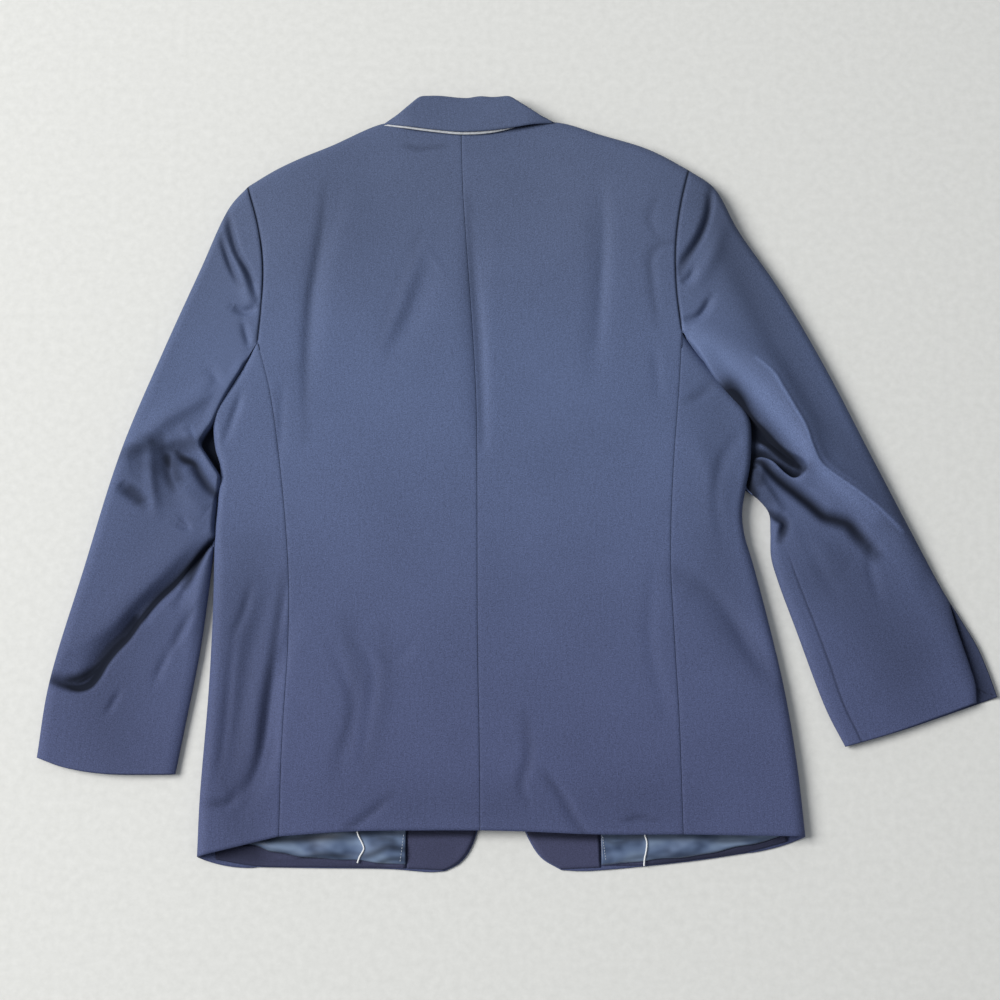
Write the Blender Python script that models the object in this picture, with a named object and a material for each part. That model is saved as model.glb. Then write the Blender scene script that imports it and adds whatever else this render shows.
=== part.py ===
"""A navy wool blazer laid face down, back upwards, on a flat surface.

Every piece of cloth is a thin wall. The upper layer (back panels, side panels, undersleeves, collar) follows
one height function with the garment's largest folds, and rolls over the side folds on to the lower layer
(fronts, side panels, topsleeves), whose underside is flat where it rests.
Tables are in millimetres in the layout's own frame: x to the right, y towards the collar, z up.
"""

import math

import bmesh
import bpy
import numpy as np

MM = 0.001
ORIGIN_X, ORIGIN_Y = 19.0, 29.7  # the layout point under the middle of the laid garment

# Thickness of each kind of cloth, and the gap kept between neighbours
WALL = 2.0  # wool with its interlining
LAPEL = 3.0  # wool, canvas and facing together
FACING = 1.4
TURN_UP = 1.2
LINING = 1.0
FELT = 1.2
GAP = 0.3
TOP_GAP = 0.6  # along the shoulder seams and the collar's fold

# Heights of the laid garment
BODY_HEIGHT = 16.0
CUFF_HEIGHT = 9.0
PAD_HEIGHT = 6.5
PAD_REACH_X, PAD_REACH_Y = 85.0, 85.0
LOWEST_TOP = 5.2  # the upper layer's top where it lies on the lower layer
SOFTNESS = 0.8
ROLL = 12.0  # how far in from a fold the cloth turns
LAPEL_LIFT = LAPEL + GAP  # the front lies on its lapel and buttons

NAVY = (0.075, 0.105, 0.200)
DARK_NAVY = (0.050, 0.060, 0.115)
LINING_BLUE = (0.115, 0.150, 0.225)
FELT_GREY = (0.50, 0.52, 0.56)
HORN = (0.020, 0.022, 0.030)

# Cells of the meshes
SEAM_CELLS = 13  # hem to armpit
ARMHOLE_CELLS = 10  # armpit to shoulder tip
SIDE_CELLS = 6  # side seam to side fold
BACK_CELLS = 10
FRONT_CELLS = 8
SLEEVE_ROWS = 20
ROLL_CELLS = 3

# Centre back seam, hem to neck: (x, y)
CENTRE_BACK = [(-20, -344), (-21, -253), (-23, -150), (-24, 18), (-25, 105), (-29, 181), (-35, 265),
               (-40, 340), (-42, 410)]

# Each side of the body, as (x, y) rows from the hem up or from the outside in
LEFT = {
    "side_seam": [(-223, -350), (-222, -253), (-218, -150), (-219, -80), (-229, 24), (-242, 115), (-253, 158)],
    "armhole": [(-253, 158), (-251, 213), (-255, 260), (-262, 305), (-272, 343)],
    "side_fold": [(-306, -370), (-305, -313), (-299, -201), (-296, -120), (-297, -20), (-289, 53), (-277, 96),
                  (-263, 143)],
    "front_seam": [(-246, -380), (-240, -300), (-234, -150), (-236, 0), (-246, 100), (-253, 158)],
    "back_hem": [(-20, -344), (-71, -344), (-150, -345), (-223, -350)],
    "front_hem": [(-246, -380), (-187, -381), (-110, -382), (-71, -385), (-56, -384)],
    "front_edge": [(-56, -384), (-42, -377), (-32, -366), (-22, -342), (-9, -290), (-3, -220), (-2, -60),
                   (-40, 105), (-80, 290), (-106, 402)],
    "shoulder": [(-42, 410), (-90, 411), (-124, 414), (-184, 389), (-237, 365), (-272, 343)],
    "front_top": [(-106, 402), (-124, 414), (-184, 389), (-237, 365), (-272, 343)],
}
RIGHT = {
    "side_seam": [(185, -348), (183, -231), (180, -160), (177, -60), (182, 40), (189, 120), (193, 180)],
    "armhole": [(193, 180), (188, 230), (188, 275), (194, 320), (204, 362)],
    "side_fold": [(309, -350), (303, -280), (292, -201), (270, -97), (255, -33), (253, -6), (259, 40), (264, 80),
                  (235, 117), (205, 164)],
    "front_seam": [(250, -366), (240, -280), (222, -150), (205, -20), (206, 70), (198, 130), (193, 180)],
    "back_hem": [(-20, -344), (23, -345), (100, -348), (185, -348)],
    "front_hem": [(250, -366), (181, -374), (127, -380), (85, -384), (62, -383)],
    "front_edge": [(62, -383), (42, -371), (30, -354), (22, -335), (12, -290), (6, -220), (4, -60),
                   (18, 105), (35, 290), (46, 402)],
    "shoulder": [(-42, 410), (15, 411), (64, 414), (110, 402), (164, 384), (204, 362)],
    "front_top": [(46, 402), (64, 414), (110, 402), (164, 384), (204, 362)],
}

# Sleeves: outer and inner folds from the cuff up, the cuff from outside in, the elbow-side edge of the
# undersleeve (on the right it leaves the fold at the open vent) and the strip of topsleeve that wraps over
LEFT_SLEEVE = {
    "outer": [(-473, -270), (-464, -195), (-433, -76), (-398, 52), (-357, 161), (-321, 249), (-291, 320),
              (-272, 343)],
    "inner": [(-331, -287), (-323, -242), (-309, -160), (-301, -90), (-299, -40), (-299, 10), (-292, 52),
              (-280, 95), (-263, 143)],
    "cuff": [(-473, -270), (-448, -279), (-407, -286), (-331, -287)],
    "vent": None,
    "wrap": 16.0,
}
RIGHT_SLEEVE = {
    "outer": [(511, -208), (502, -192), (474, -129), (428, -34), (387, 52), (346, 139), (299, 227), (256, 294),
              (231, 342), (204, 362)],
    "inner": [(353, -259), (335, -222), (306, -139), (288, -85), (283, -40), (279, -14), (259, -2), (257, 10),
              (262, 42), (267, 81), (238, 119), (205, 164)],
    "cuff": [(511, -208), (471, -222), (409, -243), (353, -259)],
    "vent": [(489, -214), (482, -169), (472, -140), (461, -106)],
    "wrap": 20.0,
}

# Largest folds of the upper layer: a path, its height (a trough is negative) and its reach to the left and
# to the right of the path's direction
BODY_FOLDS = [
    ([(-216, -130), (-232, -200), (-236, -270), (-262, -325)], -4.0, 9, 12),
    ([(-238, -100), (-256, -160), (-266, -230), (-276, -300)], -2.6, 9, 9),
    ([(-228, -140), (-247, -215), (-251, -280)], 2.4, 8, 8),
    ([(190, -92), (225, -115), (262, -160), (286, -195)], -4.2, 14, 18),
    ([(205, 60), (222, 20), (226, -40)], 2.2, 12, 12),
    ([(-174, 330), (-196, 240), (-202, 120)], -2.6, 11, 11),
    ([(106, 345), (106, 240), (99, 130)], -2.2, 11, 11),
    ([(-78, 250), (-100, 190), (-121, 150)], -2.4, 16, 7),
    ([(-20, 300), (-24, 180), (-19, 60)], -1.8, 9, 14),
]
LEFT_SLEEVE_FOLDS = [
    ([(-296, -40), (-331, -92), (-370, -146), (-412, -188), (-450, -197)], -10.0, 11, 26),
    ([(-305, -20), (-352, -80), (-398, -135), (-448, -172)], 6.5, 22, 14),
    ([(-335, 60), (-318, 28), (-292, -4)], -7.5, 8, 9),
    ([(-322, 84), (-306, 52), (-288, 24)], 6.0, 7, 8),
    ([(-352, 62), (-338, 15), (-350, -28)], -5.0, 11, 11),
    ([(-396, 12), (-380, -6), (-364, -22)], -4.5, 9, 9),
    ([(-292, 305), (-281, 268), (-262, 232)], -5.0, 5, 6),
    ([(-300, 282), (-291, 250)], -4.0, 5, 5),
    ([(-290, 262), (-274, 226), (-262, 190)], 4.0, 9, 9),
    ([(-276, 208), (-259, 186)], -4.0, 6, 6),
    ([(-330, 150), (-300, 120), (-285, 96)], 7.0, 16, 12),
]
RIGHT_SLEEVE_FOLDS = [
    ([(228, 336), (214, 290), (192, 256)], -6.0, 5, 6),
    ([(240, 300), (226, 262), (205, 226)], 3.5, 9, 9),
    ([(193, 190), (210, 194), (222, 214)], -4.0, 6, 6),
    ([(205, 182), (258, 118), (312, 66), (372, 20)], 9.0, 16, 22),
    ([(262, 74), (284, 58), (304, 42)], -9.0, 8, 9),
    ([(262, 46), (284, 40), (306, 24), (322, 32)], 4.0, 5, 5),
    ([(258, 32), (284, 26), (322, -2), (378, -38)], -8.0, 8, 12),
    ([(276, 4), (318, -26), (372, -58)], 4.5, 12, 16),
    ([(410, 0), (442, -60), (450, -110)], -2.5, 14, 14),
]

# Lining seen below the back hem: lower edge and upper edge, from the side to the facing
LEFT_LINING = {"low": [(-272, -354), (-240, -359), (-187, -368), (-129, -375), (-92, -377)],
               "high": [(-266, -305), (-187, -285), (-92, -280)]}
RIGHT_LINING = {"low": [(278, -344), (240, -351), (181, -362), (140, -369), (100, -374)],
                "high": [(268, -300), (190, -285), (100, -280)]}
LEFT_FACING = {"inner": [(-91, -381), (-90, -345), (-89, -305)],
               "outer": [(-58, -381), (-44, -374), (-34.5, -363), (-25, -341), (-17, -305)]}
RIGHT_FACING = {"inner": [(99, -380), (98, -345), (98, -305)],
                "outer": [(64, -380), (44.5, -368), (33, -351), (25, -333), (18, -305)]}

# Lapels and collar ends, plain plates between the fronts and the surface: roll line, outer edge
LEFT_LAPEL = {"roll": [(-6, -56), (-41, 105), (-68, 230), (-88, 322)],
              "edge": [(-12, -56), (-62, 30), (-112, 140), (-160, 266)],
              "gorge": [(-88, 322), (-122, 289), (-160, 266)]}
RIGHT_LAPEL = {"roll": [(8, -56), (19, 105), (29, 230), (37, 322)],
               "edge": [(14, -56), (50, 30), (82, 140), (110, 262)],
               "gorge": [(37, 322), (74, 288), (110, 262)]}
LEFT_COLLAR_END = {"roll": [(-88.5, 323.5), (-97, 370), (-98, 405), (-84, 438)],
                   "edge": [(-151, 320), (-150, 352), (-140, 388), (-120, 408)],
                   "end": [(-88.5, 323.5), (-123, 292), (-151, 320)]}
RIGHT_COLLAR_END = {"roll": [(37.5, 323.5), (42, 370), (38, 405), (20, 436)],
                    "edge": [(101, 318), (96, 352), (86, 388), (61, 408)],
                    "end": [(37.5, 323.5), (75, 291), (101, 318)]}

# Collar seen from above: the fall's lower edge, its fold, and the two slanting ends
COLLAR_EDGE = [(-122, 411), (-101, 407), (-77, 403.5), (-45, 402), (-14, 403), (12, 407), (34, 411), (62, 411)]
COLLAR_FOLD = [(-84, 444), (-62, 443), (-39, 441), (-20, 443), (-5, 441), (11, 444)]
COLLAR_HEIGHT = 21.0
COLLAR_ROLL = 9.0
END_ROLL = 6.0
STAND_LOW = LAPEL + GAP
UNDERCOLLAR_EDGE = [(-112, 406.3), (-101, 404), (-77, 400.3), (-45, 398.6), (-14, 400.2), (8, 404.8), (26, 409.5)]
UNDERCOLLAR_TOP = [(-103, 416), (-45, 417), (20, 417)]

BUTTON_RADIUS = 10.0
BUTTON_HEIGHT = 3.0
BUTTON_X = 24.0
BUTTON_YS = {"button_upper": -66.0, "button_lower": -166.0}


class Curve:
    """A smooth line through a table's points, read by the distance along it."""

    def __init__(self, rows, straight=False):
        points = np.array(rows, float)
        if not straight and len(points) > 2:
            points = smooth_through(points)
        self.points = points
        steps = np.linalg.norm(np.diff(points, axis=0), axis=1)
        self.along = np.concatenate([[0.0], np.cumsum(steps)])
        self.length = self.along[-1]

    def at(self, distances):
        return np.stack([np.interp(distances, self.along, self.points[:, k]) for k in (0, 1)], axis=-1)

    def even(self, cells):
        return self.at(np.linspace(0.0, self.length, cells + 1))


def smooth_through(points, steps=12):
    """Points on a Catmull-Rom curve through the given ones, with end slopes from the first and last pieces."""
    padded = np.vstack([2 * points[0] - points[1], points, 2 * points[-1] - points[-2]])
    out = []
    for i in range(1, len(padded) - 2):
        p0, p1, p2, p3 = padded[i - 1], padded[i], padded[i + 1], padded[i + 2]
        k0, k1, k2 = (math.sqrt(max(np.linalg.norm(b - a), 1e-6)) for a, b in ((p0, p1), (p1, p2), (p2, p3)))
        m1 = ((p1 - p0) / k0 - (p2 - p0) / (k0 + k1) + (p2 - p1) / k1) * k1
        m2 = ((p2 - p1) / k1 - (p3 - p1) / (k1 + k2) + (p3 - p2) / k2) * k1
        for t in np.linspace(0.0, 1.0, steps, endpoint=False):
            a, b = 2 * t**3 - 3 * t**2 + 1, t**3 - 2 * t**2 + t
            c, d = -2 * t**3 + 3 * t**2, t**3 - t**2
            out.append(a * p1 + b * m1 + c * p2 + d * m2)
    out.append(points[-1])
    return np.array(out)


def roll_steps(reach=ROLL, cells=ROLL_CELLS):
    """Distances in from a fold at equal turns of the roll."""
    angles = np.linspace(0.0, math.pi / 2, cells + 1)
    return reach * (1.0 - np.cos(angles))


def stations(length, cells, roll_at_start=False, roll_at_end=False, reach=ROLL):
    """Distances along a border: the roll's own steps at its ends, the rest even."""
    start = roll_steps(reach) if roll_at_start else np.array([0.0])
    end = length - roll_steps(reach)[::-1] if roll_at_end else np.array([length])
    between = cells - (len(start) - 1) - (len(end) - 1)
    middle = np.linspace(start[-1], end[0], between + 1)
    return np.concatenate([start[:-1], middle, end[1:]])


def coons(left, right, bottom, top):
    """The plan points of a four-sided panel from its borders. Rows run bottom to top, columns left to right."""
    rows, columns = len(left), len(bottom)
    v = share_along(left)[:, None, None] * 0.5 + share_along(right)[:, None, None] * 0.5
    u = share_along(bottom)[None, :, None] * 0.5 + share_along(top)[None, :, None] * 0.5
    sides = (1 - u) * left[:, None, :] + u * right[:, None, :]
    ends = (1 - v) * bottom[None, :, :] + v * top[None, :, :]
    corners = ((1 - u) * (1 - v) * bottom[0] + u * (1 - v) * bottom[-1]
               + (1 - u) * v * top[0] + u * v * top[-1])
    grid = sides + ends - corners
    assert grid.shape == (rows, columns, 2)
    return grid


def share_along(points):
    steps = np.linalg.norm(np.diff(points, axis=0), axis=1)
    along = np.concatenate([[0.0], np.cumsum(steps)])
    return along / along[-1]


def smooth_step(low, high, value):
    t = np.clip((value - low) / (high - low), 0.0, 1.0)
    return t * t * (3 - 2 * t)


def fold(x, y, path, height, left, right):
    """A soft ridge or trough along a path that fades at both ends."""
    best = np.full(np.shape(x), 1e9)
    side = np.zeros(np.shape(x))
    share = np.zeros(np.shape(x))
    points = np.array(path, float)
    lengths = np.linalg.norm(np.diff(points, axis=0), axis=1)
    before = np.concatenate([[0.0], np.cumsum(lengths)])
    for (ax, ay), (bx, by), length, start in zip(points[:-1], points[1:], lengths, before):
        dx, dy = (bx - ax) / length, (by - ay) / length
        along = np.clip((x - ax) * dx + (y - ay) * dy, 0.0, length)
        away = np.hypot(x - ax - along * dx, y - ay - along * dy)
        nearer = away < best
        best = np.where(nearer, away, best)
        side = np.where(nearer, (y - ay) * dx - (x - ax) * dy, side)
        share = np.where(nearer, (start + along) / before[-1], share)
    reach = np.where(side > 0, left, right)
    fade = np.sin(np.pi * np.clip(share, 0.03, 0.97)) ** 0.6
    return height * fade * np.exp(-((best / reach) ** 2))


def base_height(x, y):
    """The puff of the laid garment without its folds: thin at the cuffs, thick over the shoulder pads."""
    pads = 0.0
    for pad_x, pad_y in ((-212, 300), (146, 318)):
        pads = pads + np.exp(-(((x - pad_x) / PAD_REACH_X) ** 2) - ((y - pad_y) / PAD_REACH_Y) ** 2)
    return BODY_HEIGHT + PAD_HEIGHT * pads


def sleeve_base(x, y):
    arm = smooth_step(-270.0, 60.0, y)
    return CUFF_HEIGHT + (base_height(x, y) - CUFF_HEIGHT) * arm


def body_height(x, y):
    return soft_floor(base_height(x, y) + sum(fold(x, y, *row) for row in BODY_FOLDS))


def sleeve_height(folds):
    def height(x, y):
        return soft_floor(sleeve_base(x, y) + sum(fold(x, y, *row) for row in folds))
    return height


def soft_floor(z):
    """Keeps the upper layer clear of the lower one where a trough is deep."""
    return LOWEST_TOP + SOFTNESS * np.logaddexp(0.0, (z - LOWEST_TOP) / SOFTNESS)


def lift_over_lapel(x, y):
    """How far the fronts are held up by the lapels, collar ends and buttons under them."""
    left = left_of_roll_line(x, y)
    right = right_of_roll_line(x, y)
    beside = np.maximum(1 - smooth_step(106.0, 140.0, left), 0.0) * (left > -12)
    beside = np.maximum(beside, (1 - smooth_step(100.0, 132.0, right)) * (right > -12))
    lapels = beside * smooth_step(-110.0, -75.0, y)
    strip = 1 - smooth_step(62.0, 110.0, np.abs(x - 1.0))
    buttons = strip * smooth_step(-262.0, -214.0, y)
    return LAPEL_LIFT * np.maximum(lapels, buttons)


def left_of_roll_line(x, y):
    return -2.0 - 0.2262 * (y + 60.0) - x


def right_of_roll_line(x, y):
    return x - 4.0 - 0.0909 * (y + 60.0)


def inward(grid, axis, at_end):
    """Unit plan vectors that lead in from a grid's border, one for each row or column."""
    if at_end:
        grid = np.flip(grid, axis)
    step = np.take(grid, ROLL_CELLS, axis) - np.take(grid, 0, axis)
    unit = step / np.linalg.norm(step, axis=-1, keepdims=True)
    return np.expand_dims(unit, axis)


def from_border(grid, axis, at_end):
    """Each point's plan distance from a border, along its row or column."""
    border = np.take(grid, -1 if at_end else 0, axis)
    return np.linalg.norm(grid - np.expand_dims(border, axis), axis=-1)


def turned(distance, reach=ROLL):
    """How far in a point is through a roll, and the sine of the roll's turn there."""
    share = np.clip(distance / reach, 0.0, 1.0)
    return share, np.sqrt(np.clip(1 - (1 - share) ** 2, 0.0, 1.0))


def slope_factor(grid, height):
    """How much further apart, straight down, the faces of a sloping wall are than its thickness."""
    gap = 1.5
    x, y = grid[..., 0], grid[..., 1]
    gx = (height(x + gap, y) - height(x - gap, y)) / (2 * gap)
    gy = (height(x, y + gap) - height(x, y - gap)) / (2 * gap)
    return np.minimum(np.sqrt(1 + gx * gx + gy * gy), 1.8)


def upper_sheet(grid, height, middle, folds_at, thickness=WALL):
    """Outer and inner points of cloth on top. folds_at lists the borders where it turns down to the middle."""
    x, y = grid[..., 0], grid[..., 1]
    top = height(x, y)
    under = top - thickness * slope_factor(grid, height)
    half = middle(x, y)
    inner = grid.copy()
    sine = np.ones(x.shape)
    for axis, at_end, reach, fixed in folds_at:
        distance = from_border(grid, axis, at_end) if fixed is None else fixed
        share, turn = turned(distance, reach)
        inner = inner + inward(grid, axis, at_end) * (thickness * (1 - share))[..., None]
        sine = sine * turn
    outer_z = half + (top - half) * sine
    inner_z = half + (under - half) * sine
    return np.dstack([grid, outer_z]), np.dstack([inner, inner_z])


def lower_sheet(grid, low, middle, folds_at, thickness=WALL):
    """Outer and inner points of cloth underneath, which rests on the surface."""
    x, y = grid[..., 0], grid[..., 1]
    bottom = low(x, y)
    half = middle(x, y)
    inner = grid.copy()
    sine = np.ones(x.shape)
    for axis, at_end, reach, fixed in folds_at:
        distance = from_border(grid, axis, at_end) if fixed is None else fixed
        share, turn = turned(distance, reach)
        inner = inner + inward(grid, axis, at_end) * (thickness * (1 - share))[..., None]
        sine = sine * turn
    outer_z = half - (half - bottom) * sine
    inner_z = half - (half - bottom - thickness) * sine
    return np.dstack([grid, outer_z]), np.dstack([inner, inner_z])


def shrink(grid, borders, by=GAP / 2):
    """Moves the named borders of a plan grid in by half a seam's gap. Only those points move."""
    out = grid.copy()
    for border in borders:
        axis, at_end = {"bottom": (0, False), "top": (0, True), "left": (1, False), "right": (1, True)}[border]
        index = [slice(None)] * 2
        index[axis] = -1 if at_end else 0
        nearby = np.take(grid, -2 if at_end else 1, axis)
        edge = np.take(grid, -1 if at_end else 0, axis)
        tangent = np.gradient(edge, axis=0)
        normal = np.stack([-tangent[:, 1], tangent[:, 0]], axis=-1)
        normal /= np.maximum(np.linalg.norm(normal, axis=-1, keepdims=True), 1e-9)
        facing = np.sign(((nearby - edge) * normal).sum(-1, keepdims=True))
        out[tuple(index)] += normal * facing * by
    return out


def material(name, colour, roughness):
    made = bpy.data.materials.get(name) or bpy.data.materials.new(name)
    made.use_nodes = True
    shader = made.node_tree.nodes["Principled BSDF"]
    shader.inputs["Base Color"].default_value = (*colour, 1.0)
    shader.inputs["Roughness"].default_value = roughness
    shader.inputs["Metallic"].default_value = 0.0
    return made


def to_metres(points):
    flat = np.array(points, float).reshape(-1, 3)
    return (flat - (ORIGIN_X, ORIGIN_Y, 0.0)) * MM


def wall(name, outer, inner, finish):
    """One closed solid between an outer and an inner grid of points."""
    rows, columns = outer.shape[:2]
    index = np.arange(rows * columns).reshape(rows, columns)
    shift = rows * columns
    faces = []
    for i in range(rows - 1):
        for j in range(columns - 1):
            a, b, c, d = index[i, j], index[i, j + 1], index[i + 1, j + 1], index[i + 1, j]
            faces += [(a, b, c), (a, c, d)]
            faces += [(c + shift, b + shift, a + shift), (d + shift, c + shift, a + shift)]
    rim = [*index[0, :], *index[1:, -1], *index[-1, -2::-1], *index[-2:0:-1, 0]]
    for a, b in zip(rim, rim[1:] + rim[:1]):
        faces += [(b, a, a + shift), (b, a + shift, b + shift)]
    points = np.vstack([to_metres(outer), to_metres(inner)])
    return solid(name, points, faces, finish)


def solid(name, points, faces, finish):
    mesh = bpy.data.meshes.new(name)
    mesh.from_pydata([tuple(p) for p in points], [], [tuple(int(i) for i in f) for f in faces])
    work = bmesh.new()
    work.from_mesh(mesh)
    if work.calc_volume(signed=True) < 0:
        bmesh.ops.reverse_faces(work, faces=work.faces)
    work.to_mesh(mesh)
    work.free()
    mesh.materials.append(finish)
    made = bpy.data.objects.new(name, mesh)
    bpy.context.scene.collection.objects.link(made)
    return made


def middle_of(height, low):
    """Height of a fold's outermost line, half way up."""
    def middle(x, y):
        return 0.5 * (height(x, y) + low(x, y))
    return middle


def flat(x, y):
    return np.zeros(np.shape(x))


def armhole_distances(curve):
    return stations(curve.length, ARMHOLE_CELLS, roll_at_end=True)


def lower_armhole(points):
    """The armhole's points that the lower layer uses: each of the roll's, and every other one below it."""
    kept = [0, *range(len(points) - 1 - ROLL_CELLS, 1, -2)[::-1], *range(len(points) - ROLL_CELLS, len(points))]
    return points[kept]


def back_panel(name, side, cloth):
    seam = Curve(side["side_seam"]).even(SEAM_CELLS)
    armhole_curve = Curve(side["armhole"])
    armhole = armhole_curve.at(armhole_distances(armhole_curve))
    outer = np.vstack([seam, armhole[1:]])
    from_top = (1 - share_along(outer)) * Curve(outer, straight=True).length
    centre = Curve(CENTRE_BACK)
    stretch = centre.length / from_top[0] - 1
    centre_line = centre.at(centre.length - from_top * (1 + stretch * np.minimum(1.0, from_top / 200.0)))
    hem = Curve(side["back_hem"]).even(BACK_CELLS)
    top = Curve(side["shoulder"]).even(BACK_CELLS)
    grid = shrink(coons(centre_line, outer, hem, top), ["left", "right"])
    outside, inside = upper_sheet(grid, body_height, upper_middle, [(0, True, ROLL, None)])
    return wall(name, outside, inside, cloth)


def upper_middle(x, y):
    return middle_of(base_height, lift_over_lapel)(x, y) + TOP_GAP / 2


def lower_middle(x, y):
    return middle_of(base_height, lift_over_lapel)(x, y) - TOP_GAP / 2


def body_middle(x, y):
    return middle_of(base_height, lift_over_lapel)(x, y)


def side_rows(start, fold_line, distances_from_fold):
    """Rows of plan points from the fold line in to a seam, with the same steps in the roll on every row."""
    across = start - fold_line
    width = np.linalg.norm(across, axis=-1, keepdims=True)
    unit = across / width
    rolls = roll_steps()
    beyond = np.linspace(0.0, 1.0, distances_from_fold - ROLL_CELLS + 1)[1:]
    columns = [fold_line + unit * np.minimum(step, width * 0.75) for step in rolls]
    last = np.minimum(rolls[-1], width * 0.75)
    columns += [fold_line + unit * (last + (width - last) * share) for share in beyond]
    return np.stack(columns, axis=1)


def side_panel(name, side, cloth):
    """From the side seam, over the side fold and back underneath to the front's seam."""
    seam = Curve(side["side_seam"]).even(SEAM_CELLS)
    fold_line = Curve(side["side_fold"]).even(SEAM_CELLS)
    under = Curve(side["front_seam"]).even(SEAM_CELLS)
    above = shrink(side_rows(seam, fold_line, SIDE_CELLS), ["right", "top"])
    below = shrink(side_rows(under, fold_line, SIDE_CELLS), ["right", "top"])
    roll_at = [(1, False, ROLL, None)]
    top_out, top_in = upper_sheet(above, body_height, body_middle, roll_at)
    low_out, low_in = lower_sheet(below, flat, body_middle, roll_at)
    outside = np.concatenate([top_out[:, ::-1], low_out[:, 1:]], axis=1)
    inside = np.concatenate([top_in[:, ::-1], low_in[:, 1:]], axis=1)
    return wall(name, outside, inside, cloth)


def front_panel(name, side, cloth):
    seam = Curve(side["front_seam"]).even(SEAM_CELLS)
    armhole_curve = Curve(side["armhole"])
    armhole = lower_armhole(armhole_curve.at(armhole_distances(armhole_curve)))
    outer = np.vstack([seam, armhole[1:]])
    from_top = (1 - share_along(outer)) * Curve(outer, straight=True).length
    edge = Curve(side["front_edge"])
    stretch = edge.length / from_top[0] - 1
    edge_line = edge.at(edge.length - from_top * (1 + stretch * np.minimum(1.0, from_top / 200.0)))
    hem = Curve(side["front_hem"]).even(FRONT_CELLS)
    top = Curve(side["front_top"]).even(FRONT_CELLS)[::-1]
    grid = shrink(coons(outer, edge_line, hem, top), ["left"])
    outside, inside = lower_sheet(grid, lift_over_lapel, lower_middle, [(0, True, ROLL, None)])
    return wall(name, outside, inside, cloth)


def sleeve(label, parts, side, folds, cloth):
    """Undersleeve on top, and topsleeve wrapping from the front seam round the inner fold and underneath."""
    height = sleeve_height(folds)
    middle = middle_of(sleeve_base, flat)
    armhole_curve = Curve(side["armhole"])
    armhole = armhole_curve.at(armhole_distances(armhole_curve))[::-1]
    side_top = Curve(side["side_fold"]).even(SEAM_CELLS)[-1]
    underarm = side_rows(armhole[-1][None], side_top[None], SIDE_CELLS)[0][::-1]
    cap = np.vstack([armhole, underarm[1:]])
    outer = Curve(parts["outer"]).even(SLEEVE_ROWS)
    inner = Curve(parts["inner"]).even(SLEEVE_ROWS)
    cuff_curve = Curve(parts["cuff"])
    wrap = roll_steps()[-1] + (parts["wrap"] - roll_steps()[-1]) * np.linspace(0, 1, SIDE_CELLS - ROLL_CELLS + 1)
    wrap = np.concatenate([roll_steps()[:-1], wrap])
    seam_at = cuff_curve.length - wrap[-1]
    across = np.concatenate([stations(seam_at, ARMHOLE_CELLS, roll_at_start=True),
                             (cuff_curve.length - wrap[::-1])[1:]])
    grid = coons(outer, inner, cuff_curve.at(across), cap)
    grid = settle_rolls(grid, wrap)
    grid = shrink(grid, ["top"])

    under_grid = grid[:, : ARMHOLE_CELLS + 1]
    outer_distance = from_border(grid, 1, False)[:, : ARMHOLE_CELLS + 1]
    if parts["vent"] is not None:
        under_grid = opened_at_vent(under_grid, parts["vent"])
        outer_distance = np.linalg.norm(under_grid - grid[:, :1], axis=-1)
    under_grid = shrink(under_grid, ["right"])
    top_out, top_in = upper_sheet(under_grid, height, lambda x, y: middle(x, y) + GAP / 2,
                                  [(1, False, ROLL, outer_distance)])
    wall(f"undersleeve_{label}", top_out, top_in, cloth)

    wrap_grid = shrink(grid[:, ARMHOLE_CELLS:], ["left"])
    inner_distance = from_border(grid, 1, True)[:, ARMHOLE_CELLS:]
    wrap_out, wrap_in = upper_sheet(wrap_grid, height, middle, [(1, True, ROLL, inner_distance)])
    keep = [*range(ROLL_CELLS), *range(ROLL_CELLS, ARMHOLE_CELLS - 1, 2), ARMHOLE_CELLS,
            *range(ARMHOLE_CELLS + ROLL_CELLS, ARMHOLE_CELLS + SIDE_CELLS + 1)]
    low_grid = grid[:, keep]
    roll_at = [(1, False, ROLL, from_border(low_grid, 1, False)), (1, True, ROLL, from_border(low_grid, 1, True))]
    low_out, low_in = lower_sheet(low_grid, flat, middle, roll_at)
    low_out[:, 0, 2] -= GAP / 2
    low_in[:, 0, 2] -= GAP / 2
    outside = np.concatenate([wrap_out, low_out[:, -2::-1]], axis=1)
    inside = np.concatenate([wrap_in, low_in[:, -2::-1]], axis=1)
    wall(f"topsleeve_{label}", outside, inside, cloth)


def settle_rolls(grid, wrap):
    """Sets the columns beside both folds at the roll's own distances, straight across each row."""
    out = grid.copy()
    steps = roll_steps()
    unit_out = grid[:, ROLL_CELLS + 1] - grid[:, 0]
    unit_out /= np.linalg.norm(unit_out, axis=-1, keepdims=True)
    unit_in = grid[:, ARMHOLE_CELLS - 3] - grid[:, -1]
    unit_in /= np.linalg.norm(unit_in, axis=-1, keepdims=True)
    free = slice(0, len(grid) - 1)
    for k in range(1, ROLL_CELLS + 1):
        out[free, k] = (grid[:, 0] + unit_out * steps[k])[free]
    for k in range(1, len(wrap)):
        out[free, -1 - k] = (grid[:, -1] + unit_in * wrap[k])[free]
    return out


def opened_at_vent(grid, vent):
    """Moves the undersleeve's outer edge in from the fold, below the vent's top."""
    vent_curve = Curve(vent)
    top_y = vent[-1][1]
    out = grid.copy()
    order = np.argsort(vent_curve.points[:, 1])
    for i, row in enumerate(grid):
        if row[0, 1] < top_y:
            edge_y = row[0, 1] - 6.0 * smooth_step(top_y, -208.0, row[0, 1])
            edge_x = np.interp(edge_y, vent_curve.points[order, 1], vent_curve.points[order, 0])
            moved = np.array([edge_x, edge_y])
            count = len(row)
            weight = (1 - np.arange(count) / (count - 1))[:, None]
            out[i] = row + (moved - row[0]) * weight
    return out


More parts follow.
